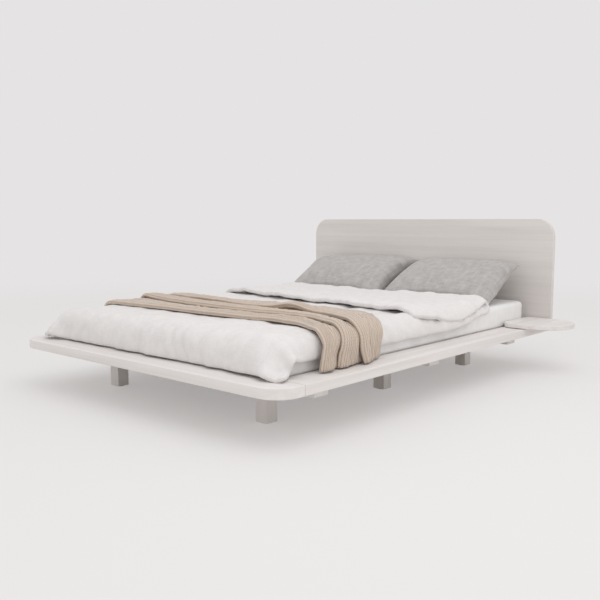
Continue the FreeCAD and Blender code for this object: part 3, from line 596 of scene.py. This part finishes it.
def finish(name, group, values, bump, source="Object", turn=(0, 0, 0), **shader):
    # a material: coordinates into the group, its colour, gloss and relief into one Principled shader. bump is
    # the relief's strength and its depth in metres
    paint = bpy.data.materials.new(name)
    paint.use_nodes = True
    tree = paint.node_tree
    tree.nodes.clear()
    where = addNode(tree, "ShaderNodeTexCoord", (0, 0))
    turned = addNode(tree, "ShaderNodeMapping", (1, 0), Rotation=turn)
    detail = addNode(tree, "ShaderNodeGroup", (2, 0), node_tree=group)
    for key, value in values.items():
        detail.inputs[key].default_value = value
    relief = addNode(tree, "ShaderNodeBump", (3, 1), Strength=bump[0], Distance=bump[1])
    surface = addNode(tree, "ShaderNodeBsdfPrincipled", (4, 0))
    for key, value in shader.items():
        surface.inputs[key.replace("_", " ")].default_value = value
    out = addNode(tree, "ShaderNodeOutputMaterial", (5, 0))
    join(tree, (where.outputs[source], turned.inputs["Vector"]), (turned.outputs[0], detail.inputs["Vector"]),
         (detail.outputs["Color"], surface.inputs["Base Color"]),
         (detail.outputs["Roughness"], surface.inputs["Roughness"]),
         (detail.outputs["Height"], relief.inputs["Height"]), (relief.outputs[0], surface.inputs["Normal"]),
         (surface.outputs[0], out.inputs["Surface"]))
    return paint


grain, weave, knit, brush = plankGrain(), clothWeave(), knitRibs(), metalBrush()

woodTones = {
    "light": (0.80, 0.765, 0.752, 1),
    "dark": (0.69, 0.65, 0.635, 1),
    "boardShadedLight": (0.73, 0.695, 0.672, 1),  # painted shade: the headboard is given darker tones than the rails, standing in for the shade on its face
    "boardShadedDark": (0.635, 0.598, 0.576, 1),
    # painted light: the legs are given lighter tones than the rails, standing in for light they miss under
    # the bed
    "legPaintedLitLight": (0.865, 0.83, 0.815, 1),
    "legPaintedLitDark": (0.755, 0.715, 0.695, 1),
    "rawLight": (0.66, 0.53, 0.38, 1),
    "rawDark": (0.50, 0.37, 0.24, 1),
}
quarterTurn = math.pi / 2
alongX, alongY, alongZ = (0, 0, 0), (0, 0, -quarterTurn), (0, quarterTurn, 0)


def washedWood(name, turn, light="light", dark="dark", joint=grainMake["noJoint"]):
    tones = {"Light": woodTones[light], "Dark": woodTones[dark], "Joint": joint}
    return finish(name, grain, tones, (0.12, 0.0006), turn=turn, Specular_IOR_Level=0.3)


def rawWood(name, turn):
    tones = {"Light": woodTones["rawLight"], "Dark": woodTones["rawDark"], "Streaks": 1.2}
    return finish(name, grain, tones, (0.2, 0.0006), turn=turn, Specular_IOR_Level=0.25)


washedX, washedY = washedWood("washedWoodX", alongX), washedWood("washedWoodY", alongY)
# painted light: the legs take the lighter tones, standing in for light they miss under the bed
legPaintedLight = washedWood("legPaintedLight", alongZ, "legPaintedLitLight", "legPaintedLitDark")
washedRail = washedWood("washedRail", alongY, joint=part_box("side_rail_right")[0].y)
# painted shade: the headboard takes the darker tones, standing in for the shade on its face
boardPaintedShade = washedWood("boardPaintedShade", alongX, "boardShadedLight", "boardShadedDark")
rawX, rawY = rawWood("rawWoodX", alongX), rawWood("rawWoodY", alongY)
steel = finish("zincSteel", brush, {"Light": (0.62, 0.62, 0.61, 1), "Dark": (0.46, 0.46, 0.46, 1)},
               (0.1, 0.0002), Metallic=1.0)
brass = finish("brassThread", brush, {"Light": (0.72, 0.52, 0.24, 1), "Dark": (0.55, 0.38, 0.16, 1)},
               (0.1, 0.0002), Metallic=1.0)
feltTones = {"Threads": 1500.0, "Light": (0.30, 0.28, 0.27, 1), "Dark": (0.19, 0.18, 0.17, 1)}
felt = finish("greyFelt", weave, feltTones, (0.6, 0.0008))

nodeFinish = [
    (("side_rail",), washedRail),
    (("foot_rail", "head_rail", "cross_beam"), washedX),
    (("headboard",), boardPaintedShade),
    (("leg_foot", "leg_middle", "leg_head"), legPaintedLight),
    (("tray_left", "tray_right"), washedY),
    (("slat_ledger", "centre_rail", "corner_dowels", "headboard_dowels"), rawY),
    (("slat_0", "slat_1"), rawX),
    (("foot_plate", "head_plate", "plate_screws", "slat_screws", "ledger_screws", "rail_bolts", "leg_bolts",
      "headboard_bolts", "tray_pins"), steel),
    (("rail_inserts", "leg_inserts", "headboard_inserts"), brass),
    (("leg_felt_pads", "tray_rings"), felt),
]
for starts, paint in nodeFinish:
    for name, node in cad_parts.items():
        if name.startswith(starts):
            for slot in node.material_slots:
                slot.material = paint
print("wood, metal and felt done")


# mattress

mattressMake = {"corner": 0.06, "roll": 0.024}
cottonTones = {"Threads": 2600.0, "Light": (0.86, 0.85, 0.845, 1), "Dark": (0.81, 0.80, 0.795, 1)}
cotton = finish("smoothCotton", weave, cottonTones, (0.1, 0.0004), Sheen_Weight=0.15)
mattress = roundBlock("mattressPad", mattressLow, mattressHigh, mattressMake["corner"], mattressMake["roll"])
mattress.data.materials.append(cotton)
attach(mattress, "mattress_body")
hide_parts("mattress")
print("mattress done")


# duvet

duvetMake = {
    "spacing": 0.017,
    "sideDrop": 0.060,  # cloth past the mattress at each side and at the foot, measured flat
    "footDrop": 0.096,
    "cornerWide": 0.022,  # the foot corners are cut a little wider, over a share of the length
    "cornerLong": 0.1,
    "headDraw": 0.045,  # how far the side hems rise towards the fold, and from which share of the length
    "headDrawFrom": 0.80,
    "laid": 0.024,  # height above the mattress at which the sheet is laid, and how uneven it and the fold are
    "laidNoise": ((0.003, (3, 3), 3),),
    "foldNoise": ((0.002, (3, 3), 8),),
    "thick": 0.024,
    "hemThick": 0.010,
    "hemWide": 0.035,
    "foldLeft": 0.47,  # length turned back at the left and right sides
    "foldRight": 0.65,
    "foldNarrow": 0.945,  # width of the turned-back part at the crease and at its edge, as shares
    "edgeNarrow": 0.885,
    "foldRound": 0.016,
    "foldEdge": 0.014,  # thickness of the turned-back edge, and the length that has it
    "foldEdgeLong": 0.2,
    "foldLift": 0.015,  # lift of the turned-back edge, from which share of the fold it grows and over which
    "liftFrom": 0.70,
    "liftOver": 0.08,
    "settledRounds": 2,  # rounds of softening after the cloth has settled
    "creasePoints": 7,
    "crumple": 0.0031,  # height of the crumples, of the lines down the foot fall and of the side ripples
    "fallLines": 0.0060,
    "sideLines": 0.0042,
    "crumpleNoise": ((0.5, (2.2, 2.2), 21), (0.7, (6, 4.5), 22)),
    "fallNoise": ((0.5, (9, 1.2), 23), (0.65, (14, 3.0), 24)),
    "swayNoise": ((4.5, (12, 9), 25),),  # how far the lines sway to either side, in cells
    "sideNoise": ((0.5, (1.3, 7), 26), (0.65, (3, 10), 27)),
    "fallFrom": 0.12,  # metres from the foot hem at which the fall's lines fade, and over what length
    "fallOver": 0.25,
    "sideFrom": 0.05,  # the same from the side hems
    "sideOver": 0.22,
    "fallCalm": 0.3,  # share of the crumples lost on the fall, and of the lines that stays elsewhere
    "linesElsewhere": 0.15,
}
duvetCloth = {
    "frames": 30, "quality": 5, "mass": 0.2, "air": 2.0, "stretch": 22.0, "shear": 10.0, "bending": 6.0,
    "damping": 8.0, "shrink": -0.012,
}
foldCloth = dict(duvetCloth, frames=20)
# what the cloth falls on: the mattress made a little larger, the duvet under the fold and the rim round both;
# touch is the gap and the friction
quiltForm = {"side": 0.008, "foot": 0.012, "top": 0.008, "corner": 0.07, "roll": 0.055, "touch": (0.004, 8)}
duvetForm = {"thick": 0.02, "touch": (0.006, 10)}
rimForm = {
    "half": 0.90, "foot": 0.12, "head": 0.1, "deep": 0.06, "corner": 0.02, "roll": 0.01, "touch": (0.006, 8),
}


def makeQuiltForm():
    low = (mattressLow.x - quiltForm["side"], mattressLow.y - quiltForm["foot"], mattressLow.z)
    high = (mattressHigh.x + quiltForm["side"], mattressHigh.y, mattressHigh.z + quiltForm["top"])
    form = roundBlock("quiltForm", low, high, quiltForm["corner"], quiltForm["roll"], perSide=26, detail=5)
    return collider(form, *quiltForm["touch"])


def makeSheetForm(middle, thick, touch):
    shape = middle.shape[:2]
    return collider(quiltShell("duvetForm", middle, np.zeros(shape + (2,)), np.full(shape, thick)), *touch)


def makeRimForm():
    low = (-rimForm["half"], duvetLow.y - rimForm["foot"], rimTop - rimForm["deep"])
    high = (rimForm["half"], duvetHigh.y + rimForm["head"], rimTop)
    form = roundBlock("rimForm", low, high, rimForm["corner"], rimForm["roll"], perSide=12, detail=3)
    return collider(form, *rimForm["touch"])


def makeDuvet():
    make = duvetMake
    step = make["spacing"]
    half = (mattressHigh.x - mattressLow.x) / 2
    crease = duvetHigh.y - make["foldRound"] - make["thick"] / 2
    foot = mattressLow.y - make["footDrop"]
    rows = int((crease - foot) / step) + 1
    cols = 2 * int((half + make["sideDrop"]) / step) + 1
    across = np.linspace(-1, 1, cols)[None, :]
    along = np.linspace(0, 1, rows)[:, None]  # 0 at the foot hem, 1 at the crease
    # flat sheet: its width narrows towards the crease, and it is laid just above the mattress
    drawn = smoothStep((along - make["headDrawFrom"]) / (1 - make["headDrawFrom"]))
    reach = half + make["sideDrop"] - make["headDraw"] * drawn
    reach = reach + make["cornerWide"] * smoothStep(1 - along / make["cornerLong"])
    flatX = across * reach
    flatY = foot + along * (crease - foot) + 0 * across
    flatZ = mattressHigh.z + make["laid"] + mixedNoise((rows, cols), make["laidNoise"])
    main = np.stack([flatX, flatY, flatZ], axis=2)
    form = makeQuiltForm()
    main = settle("duvetCloth", main, gridQuads(rows, cols), duvetCloth)
    main = soften(main, make["settledRounds"])
    dropScratch(form)
    print("duvet laid:", rows, "by", cols)
    # the fold: the same cloth turned back over itself, first laid a little above the duvet
    foldLength = make["foldLeft"] + (make["foldRight"] - make["foldLeft"]) * (across + 1) / 2
    foldRows = int((make["foldLeft"] + make["foldRight"]) / 2 / step)
    turned = np.linspace(0, 1, foldRows)[:, None]
    rowAt = (rows - 1) - turned * foldLength / step
    narrow = make["foldNarrow"] + (make["edgeNarrow"] - make["foldNarrow"]) * turned ** 2
    colAt = (cols - 1) / 2 * (1 + across * narrow)
    outward = sampleGrid(gridNormals(main), rowAt, colAt)
    fold = sampleGrid(main, rowAt, colAt) + outward * 2 * make["foldRound"]
    fold = fold + outward * mixedNoise(fold.shape[:2], make["foldNoise"])[..., None]
    under = makeSheetForm(main[rows % 2::2], duvetForm["thick"], duvetForm["touch"])
    fold = settle("foldCloth", fold, gridQuads(foldRows, cols), foldCloth, held=np.arange(cols))
    fold = soften(fold, make["settledRounds"])
    dropScratch(under)
    lifted = smoothStep((turned[..., None] - make["liftFrom"]) / make["liftOver"])
    fold = fold + outward * make["foldLift"] * lifted
    print("fold laid:", foldRows, "by", cols)
    # crease: half a turn from the main sheet up to the fold, bulging towards the head
    arc = np.linspace(0, math.pi, make["creasePoints"])[1:-1, None, None]
    low, high = main[-1][None], fold[0][None]
    bulge = np.array([0, 1, 0]) * np.linalg.norm(high - low, axis=2, keepdims=True) / 2
    crook = (low + high) / 2 - (high - low) / 2 * np.cos(arc) + bulge * np.sin(arc)
    middle = refine(np.concatenate([main, crook, fold]))
    # linen crumples: soft pits all over, lines that run down the foot fall and ripples down the sides
    shape = middle.shape[:2]
    steps = np.linalg.norm(np.diff(middle[:, shape[1] // 2], axis=0), axis=1)
    lengths = np.concatenate([[0], np.cumsum(steps)])
    widths = np.linspace(0, 2 * (half + make["sideDrop"]), shape[1])
    fromSide = np.minimum(widths, widths[-1] - widths)[None, :]
    fall = smoothStep(1 - (lengths - make["fallFrom"]) / make["fallOver"])[:, None]
    sides = smoothStep(1 - (fromSide - make["sideFrom"]) / make["sideOver"]) * (1 - fall)
    crumple = make["crumple"] * mixedNoise(shape, make["crumpleNoise"])
    lines = make["fallLines"] * mixedNoise(shape, make["fallNoise"])
    swayed = np.arange(shape[1])[None, :] + mixedNoise(shape, make["swayNoise"])
    lines = sampleGrid(lines[..., None], np.arange(shape[0])[:, None] * 1.0, swayed)[..., 0]
    ripples = make["sideLines"] * mixedNoise(shape, make["sideNoise"])
    lined = make["linesElsewhere"] + (1 - make["linesElsewhere"]) * fall
    relief = crumple * (1 - make["fallCalm"] * fall) + lines * lined + ripples * sides
    middle = middle + gridNormals(middle) * relief[..., None]
    uv = np.stack(np.broadcast_arrays(widths[None, :], lengths[:, None]), axis=2)
    # thickness: thin at the hems, full a few fingers in along a quarter circle, thicker at the fold's edge
    fromEnd = np.minimum(lengths, lengths[-1] - lengths)[:, None]
    inward = np.clip(np.minimum(fromSide, fromEnd) / make["hemWide"], 0, 1)
    onEdge = (lengths > lengths[-1] - make["foldEdgeLong"])[:, None]
    hem = make["hemThick"] + (make["foldEdge"] - make["hemThick"]) * onEdge
    thick = hem + (make["thick"] - hem) * np.sqrt(1 - (1 - inward) ** 2)
    duvet = quiltShell("duvetCover", middle, uv, thick)
    duvet.data.materials.append(whiteLinen)
    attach(duvet, "mattress_body")
    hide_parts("duvet")
    return duvet, main


whiteTones = {"Threads": 3000.0, "Light": (0.793, 0.767, 0.764, 1), "Dark": (0.707, 0.682, 0.679, 1)}
whiteLinen = finish("whiteLinen", weave, whiteTones, (0.25, 0.0008), "UV",
                    Sheen_Weight=0.25, Sheen_Roughness=0.5)
ledge = makeRimForm()
duvet, duvetMiddle = makeDuvet()
print("duvet done:", len(duvet.data.polygons), "faces")


# pillows

pillowMake = {
    "spacing": 0.0105,
    "height": 0.490,
    "lean": 23.0,
    "seam": 0.002,  # width of the sewn edge past the node's box
    "front": 0.068,  # crown of each face before it is filled
    "back": 0.034,
    "outerBox": 6,  # how far the crown stays full towards the outer side, and each pillow's inner side
    "innerBox": {"Left": 12, "Right": 3.5},
    "endBox": 2.4,  # the same towards the top and the bottom
    "sidePower": 0.55,  # how steeply the crown falls to the seam at the sides and at the ends
    "endPower": 0.85,
    "lumps": 0.04,
    "drawIn": 0.010,
    "droop": 0.09,  # how far the outer top corner falls forwards
    "droopAcross": 0.1,  # where the droop begins, in half widths and half heights from the middle
    "droopUp": -0.4,
    "swell": 0.013,  # furthest that a point moves when the pillow is filled
    "rest": 0.001,  # gap to the headboard and to the mattress
    "seamCrease": 0.75,
}
pillowCloth = {
    "frames": 14, "quality": 6, "mass": 0.2, "air": 3.0, "stretch": 30.0, "shear": 10.0, "bending": 1.0,
    "damping": 10.0, "shrink": -0.012, "gravity": 0.0, "pressure": 3.0, "collide": False,
}
greyTones = {
    "Threads": 2600.0,
    "Slubs": 0.4,
    "Light": (0.504, 0.480, 0.470, 1),
    "Dark": (0.353, 0.335, 0.326, 1),
}
greyLinen = finish("greyLinen", weave, greyTones, (0.4, 0.0008), "UV", Sheen_Weight=0.3, Sheen_Roughness=0.5)


def makePillow(label, seed):
    make = pillowMake
    node = "pillow_" + label.lower()
    nodeLow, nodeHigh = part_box(node)
    lean = math.radians(make["lean"])
    width = nodeHigh.x - nodeLow.x + make["seam"]
    height = make["height"]
    cols, rows = int(width / make["spacing"]) + 1, int(height / make["spacing"]) + 1
    across = np.linspace(-1, 1, cols)[None, :]
    along = np.linspace(-1, 1, rows)[:, None]
    # two sheets sewn round the edge: each a crown that falls to the seam, one less a power of the way across
    # times one less a power of the way along, the sides drawn in between the corners
    outward = 1 if label == "Right" else -1
    boxy = np.where(across * outward > 0, make["outerBox"], make["innerBox"][label])
    crown = (1 - np.abs(across) ** boxy) ** make["sidePower"]
    crown = crown * (1 - np.abs(along) ** make["endBox"]) ** make["endPower"]
    flatX = across * (width / 2 - make["drawIn"] * (1 - along ** 2))
    flatY = along * (height / 2 - make["drawIn"] * (1 - across ** 2))
    lumps = 1 + make["lumps"] * softNoise((rows, cols), (6, 6), seed)
    upper = np.stack([flatX, flatY, make["front"] * crown * lumps], axis=2)
    lower = np.stack([flatX, flatY, -make["back"] * crown], axis=2)
    # the lower sheet shares the seam's points with the upper one
    sewn = np.concatenate([upper.reshape(-1, 3), lower[1:-1, 1:-1].reshape(-1, 3)])
    lowerIndex = np.arange(rows * cols).reshape(rows, cols)
    lowerIndex[1:-1, 1:-1] = rows * cols + np.arange((rows - 2) * (cols - 2)).reshape(rows - 2, cols - 2)
    lowerQuads = lowerIndex.ravel()[gridQuads(rows, cols, 0, True)]
    quads = np.concatenate([gridQuads(rows, cols), lowerQuads])
    pillow = meshPiece("pillow" + label, sewn, quads, sewn[:, :2])
    filled = sewn
    # filled by pressure with its four corners held, each point moving no further than the swell
    tips = np.argsort(np.abs(sewn[:, 0]) + np.abs(sewn[:, 1]))[-4:]
    move = settle("pillowCloth", sewn, quads, pillowCloth, held=tips) - sewn
    travel = np.linalg.norm(move, axis=1, keepdims=True)
    filled = sewn + move * np.minimum(1, make["swell"] / np.maximum(travel, 1e-6))
    # leaned back, then set down on the mattress and against the headboard
    turned = np.stack([filled[:, 0], filled[:, 1] * math.cos(lean) - filled[:, 2] * math.sin(lean),
                       filled[:, 1] * math.sin(lean) + filled[:, 2] * math.cos(lean)], axis=1)
    outer = filled[:, 0] / (width / 2) * outward
    upwards = filled[:, 1] / (height / 2)
    corner = smoothStep((outer - make["droopAcross"]) / (1 - make["droopAcross"]))
    corner = corner * smoothStep((upwards - make["droopUp"]) / (1 - make["droopUp"]))
    turned[:, 1] -= make["droop"] * corner
    turned[:, 0] += (nodeLow.x + nodeHigh.x) / 2
    turned[:, 1] += headboardFront - make["rest"] - turned[:, 1].max()  # the inner corner leans on the board
    turned[:, 2] += mattressHigh.z + make["rest"] - turned[:, 2].min()
    print(node, "stands", np.round(turned.min(axis=0), 3), np.round(turned.max(axis=0), 3))
    pillow.data.vertices.foreach_set("co", turned.astype(np.float32).ravel())
    # the sewn edge stays crisp: its edges join two points of the flat outline
    ends = np.empty(len(pillow.data.edges) * 2, np.int32)
    pillow.data.edges.foreach_get("vertices", ends)
    seam = (np.abs(sewn[ends.reshape(-1, 2), 2]) < 1e-6).all(axis=1)
    crease = pillow.data.attributes.new("crease_edge", "FLOAT", "EDGE")
    crease.data.foreach_set("value", make["seamCrease"] * seam.astype(np.float32))
    pillow.data.update()
    pillow.data.materials.append(greyLinen)
    smooth = pillow.modifiers.new("smooth", "SUBSURF")
    smooth.levels = smooth.render_levels = 1
    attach(pillow, node + "_body")
    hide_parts(node)


makePillow("Left", 41)
makePillow("Right", 42)
print("pillows done")


# throw

throwMake = {
    "spacing": 0.018,  # of the cloth's points along the throw and round its pleats
    "sectionStep": 0.0095,
    "thick": 0.0065,
    "rib": 0.0130,  # width of one knitted rib, its height and its columns of points
    "ribRise": 0.0020,
    "ribCols": 4,
    "lies": (0.15, 0.75),  # part of the duvet below, in metres from the mattress's foot end
    "top": 0.006,  # first height above the duvet's top, and first distance from its sides
    "side": 0.006,
    "shoulder": 0.07,  # radius of its path over each side
    "leftHang": 0.060,
    "rightHang": 0.072,
    "sideFlat": 0.8,  # how flat the pleats lie on each other where they hang, and on the top
    "topFlat": 1.15,
    "hangFrom": 0.68,  # metres from the bed's middle at which they begin to hang, and over what length
    "hangOver": 0.1,
    "thirdFlat": 0.4,  # the third pleat lies flatter on the left, from here and over this length
    "leftFrom": -0.15,
    "leftOver": 0.35,
    "thirdFrom": 1.2,  # where it counts as the third pleat, in lines from the first
    "thirdOver": 0.5,
    "puff": 0.024,  # lift of the third pleat's nose, its place and reach across the bed
    "puffAt": 0.29,
    "puffWide": 0.09,
    "puffPast": 2,  # columns from the nose to the puff's middle, and its reach in columns
    "puffCols": 6,
    "evenOver": 9,  # points along the throw over which its lines are evened out
    "underTouch": (0.005, 12),  # gap and friction on the duvet
}
throwCloth = {
    "frames": 14, "quality": 4, "mass": 0.12, "air": 3.0, "stretch": 20.0, "shear": 8.0, "bending": 120.0,
    "damping": 8.0, "selfGap": 0.005,
}
# where the pleats' noses and the head edge lie across the bed, left to right, in metres from the mattress's
# foot end. The ends of the lists are the hems
throwLines = {
    "across": (-0.86, -0.70, -0.30, 0.00, 0.27, 0.42, 0.56, 0.66, 0.74, 0.80, 0.88),
    "first": (0.245, 0.240, 0.255, 0.255, 0.262, 0.285, 0.275, 0.235, 0.190, 0.165, 0.145),
    "second": (0.490, 0.475, 0.420, 0.405, 0.405, 0.405, 0.385, 0.340, 0.285, 0.260, 0.262),
    "third": (0.620, 0.600, 0.560, 0.520, 0.520, 0.520, 0.490, 0.440, 0.385, 0.372, 0.400),
    "head": (0.720, 0.750, 0.770, 0.785, 0.790, 0.785, 0.750, 0.675, 0.580, 0.550, 0.540),
}
# the places in those lists of the left hem, the shoulders' four ends and the right hem
throwMarks = (-0.86, -0.78, -0.70, 0.70, 0.78, 0.88)
# section of the pleats from the foot edge to the head edge: the line that each point lies on or between
# (0 first, 1 second, 2 third, 3 head), its shift headwards and its height
throwSection = np.array([
    (0, 0.060, 0.004), (0, 0.012, 0.004), (0, 0.000, 0.009), (0, 0.010, 0.015), (0.5, 0.0, 0.017),
    (1, 0.045, 0.015), (1, 0.052, 0.019), (1, 0.045, 0.024), (1, 0.012, 0.025), (1, 0.000, 0.030),
    (1, 0.012, 0.036), (1, 0.050, 0.034), (1.75, 0.0, 0.022), (2, 0.045, 0.016), (2, 0.052, 0.020),
    (2, 0.045, 0.025), (2, 0.012, 0.026), (2, 0.000, 0.031), (2, 0.012, 0.037), (2, 0.055, 0.035),
    (2.45, 0.0, 0.018), (2.7, 0.0, 0.008), (3, 0.0, 0.005),
])
thirdNose = 17  # its place in the section


def throwPath():
    # across the bed: up the left side, over two round shoulders, down the right side. Gives the way along the
    # path, its points in X and Z, the direction away from the bed and the way to the shoulders' four ends
    make = throwMake
    fromFoot = duvetMiddle[:, 0, 1] - mattressLow.y
    below = duvetMiddle[(fromFoot > make["lies"][0]) & (fromFoot < make["lies"][1])]
    out = np.abs(below[..., 0]).max() + duvetMake["thick"] / 2 + make["side"]
    top = below[..., 2].max() + duvetMake["thick"] / 2 + make["top"]
    bend = make["shoulder"]
    quarter = math.pi / 2 * bend
    flatRun = 2 * (out - bend)
    total = make["leftHang"] + 2 * quarter + flatRun + make["rightHang"]
    run = np.linspace(0, total, int(total / make["spacing"]) + 1)
    ends = np.cumsum([make["leftHang"], quarter, flatRun, quarter])
    rising = np.clip((run - ends[0]) / bend, 0, math.pi / 2)
    falling = np.clip((run - ends[2]) / bend, 0, math.pi / 2)
    turn = rising - math.pi / 2 + falling
    heading = np.stack([np.cos(turn), -np.sin(turn)], axis=1)
    upwards = np.stack([np.sin(turn), np.cos(turn)], axis=1)
    moves = (heading[1:] + heading[:-1]) / 2 * np.diff(run)[:, None]
    path = np.concatenate([[[0, 0]], np.cumsum(moves, axis=0)])
    onTop = path[(run > ends[1]) & (run < ends[2])]
    path += (-onTop[:, 0].mean(), top - onTop[:, 1].max())
    return run, path, upwards, ends


def makeThrow():
    make = throwMake
    run, path, upwards, ends = throwPath()
    rows, total = len(run), run[-1]
    # the four lines read at each place along the path, then evened out
    spread = np.interp(run, [0, *ends, total], throwMarks)
    kernel = np.hanning(make["evenOver"])
    kernel = kernel / kernel.sum()
    lines = []
    for key in ("first", "second", "third", "head"):
        read = np.interp(spread, throwLines["across"], throwLines[key])
        lines.append(np.convolve(np.pad(read, len(kernel) // 2, mode="edge"), kernel, mode="valid"))
    lines = np.stack(lines, axis=1)
    line, shift, rise = throwSection.T
    low = np.minimum(line.astype(int), 2)
    share = line - low
    place = lines[:, low] * (1 - share) + lines[:, low + 1] * share + shift
    hanging = smoothStep((np.abs(spread) - make["hangFrom"]) / make["hangOver"])[:, None]
    height = rise * (make["topFlat"] + (make["sideFlat"] - make["topFlat"]) * hanging)
    onThird = smoothStep((line - make["thirdFrom"]) / make["thirdOver"])
    onLeft = smoothStep((make["leftFrom"] - spread) / make["leftOver"])[:, None]
    height = height * (1 - (1 - make["thirdFlat"]) * onThird * onLeft)
    # the section walked at even steps, so that the cloth's flat width is the same along its length
    steps = np.hypot(np.diff(place.mean(axis=0)), np.diff(rise))
    walk = np.concatenate([[0], np.cumsum(steps)])
    cols = int(walk[-1] / make["sectionStep"]) + 1
    at = np.interp(np.linspace(0, walk[-1], cols), walk, np.arange(len(walk)))
    section = sampleGrid(np.stack([place, height], axis=2), np.arange(rows)[:, None] * 1.0, at[None, :])
    x = path[:, :1] + upwards[:, :1] * section[..., 1]
    y = mattressLow.y + section[..., 0]
    z = path[:, 1:] + upwards[:, 1:] * section[..., 1]
    sheet = np.stack([x, y, z], axis=2)
    under = makeSheetForm(duvetMiddle, duvetMake["thick"], make["underTouch"])
    sheet = settle("throwCloth", sheet, gridQuads(rows, cols), throwCloth)
    dropScratch(under)
    print("throw laid:", rows, "by", cols)
    # one loose puff: the third pleat's nose lifted, fading along the pleat and into the layers beside it, as
    # the product of two bell curves
    puffed = np.arange(cols) - np.interp(thirdNose, at, np.arange(cols)) - make["puffPast"]
    puff = np.exp(-((sheet[..., 0] - make["puffAt"]) / make["puffWide"]) ** 2)
    puff = puff * np.exp(-(puffed / make["puffCols"])[None, :] ** 2)
    sheet[..., 2] += make["puff"] * puff
    # knitted ribs run the length of the throw: half waves across the width on both faces
    ribs = int(walk[-1] / make["rib"])
    sheet = refine(sheet)
    fineRows, fineCols = sheet.shape[0], ribs * make["ribCols"] + 1
    colAt = np.linspace(0, sheet.shape[1] - 1, fineCols)[None, :]
    sheet = sampleGrid(sheet, np.arange(fineRows)[:, None] * 1.0, colAt)
    wave = np.abs(np.sin(np.linspace(0, ribs * math.pi, fineCols)))[None, :]
    thick = make["thick"] + 2 * make["ribRise"] * (wave - 0.5) + np.zeros((fineRows, 1))
    uv = np.stack(np.broadcast_arrays(np.linspace(0, ribs * make["rib"], fineCols)[None, :],
                                      np.linspace(0, total, fineRows)[:, None]), axis=2)
    throw = quiltShell("throwKnit", sheet, uv, thick)
    throw.data.materials.append(beigeKnit)
    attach(throw, "mattress_body")
    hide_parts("throw")
    return throw


knitTones = {
    "Rib": throwMake["rib"],
    "Stitch": 0.0085,  # length of one stitch
    "Light": (0.685, 0.57, 0.475, 1),
    # the dark tone is partly painted shade: the grooves between ribs and stitches take it
    "Dark": (0.34, 0.265, 0.21, 1),
}
beigeKnit = finish("beigeKnit", knit, knitTones, (0.7, 0.003), "UV", Sheen_Weight=0.3, Sheen_Roughness=0.6)
throw = makeThrow()
dropScratch(ledge)
print("throw done:", len(throw.data.polygons), "faces")
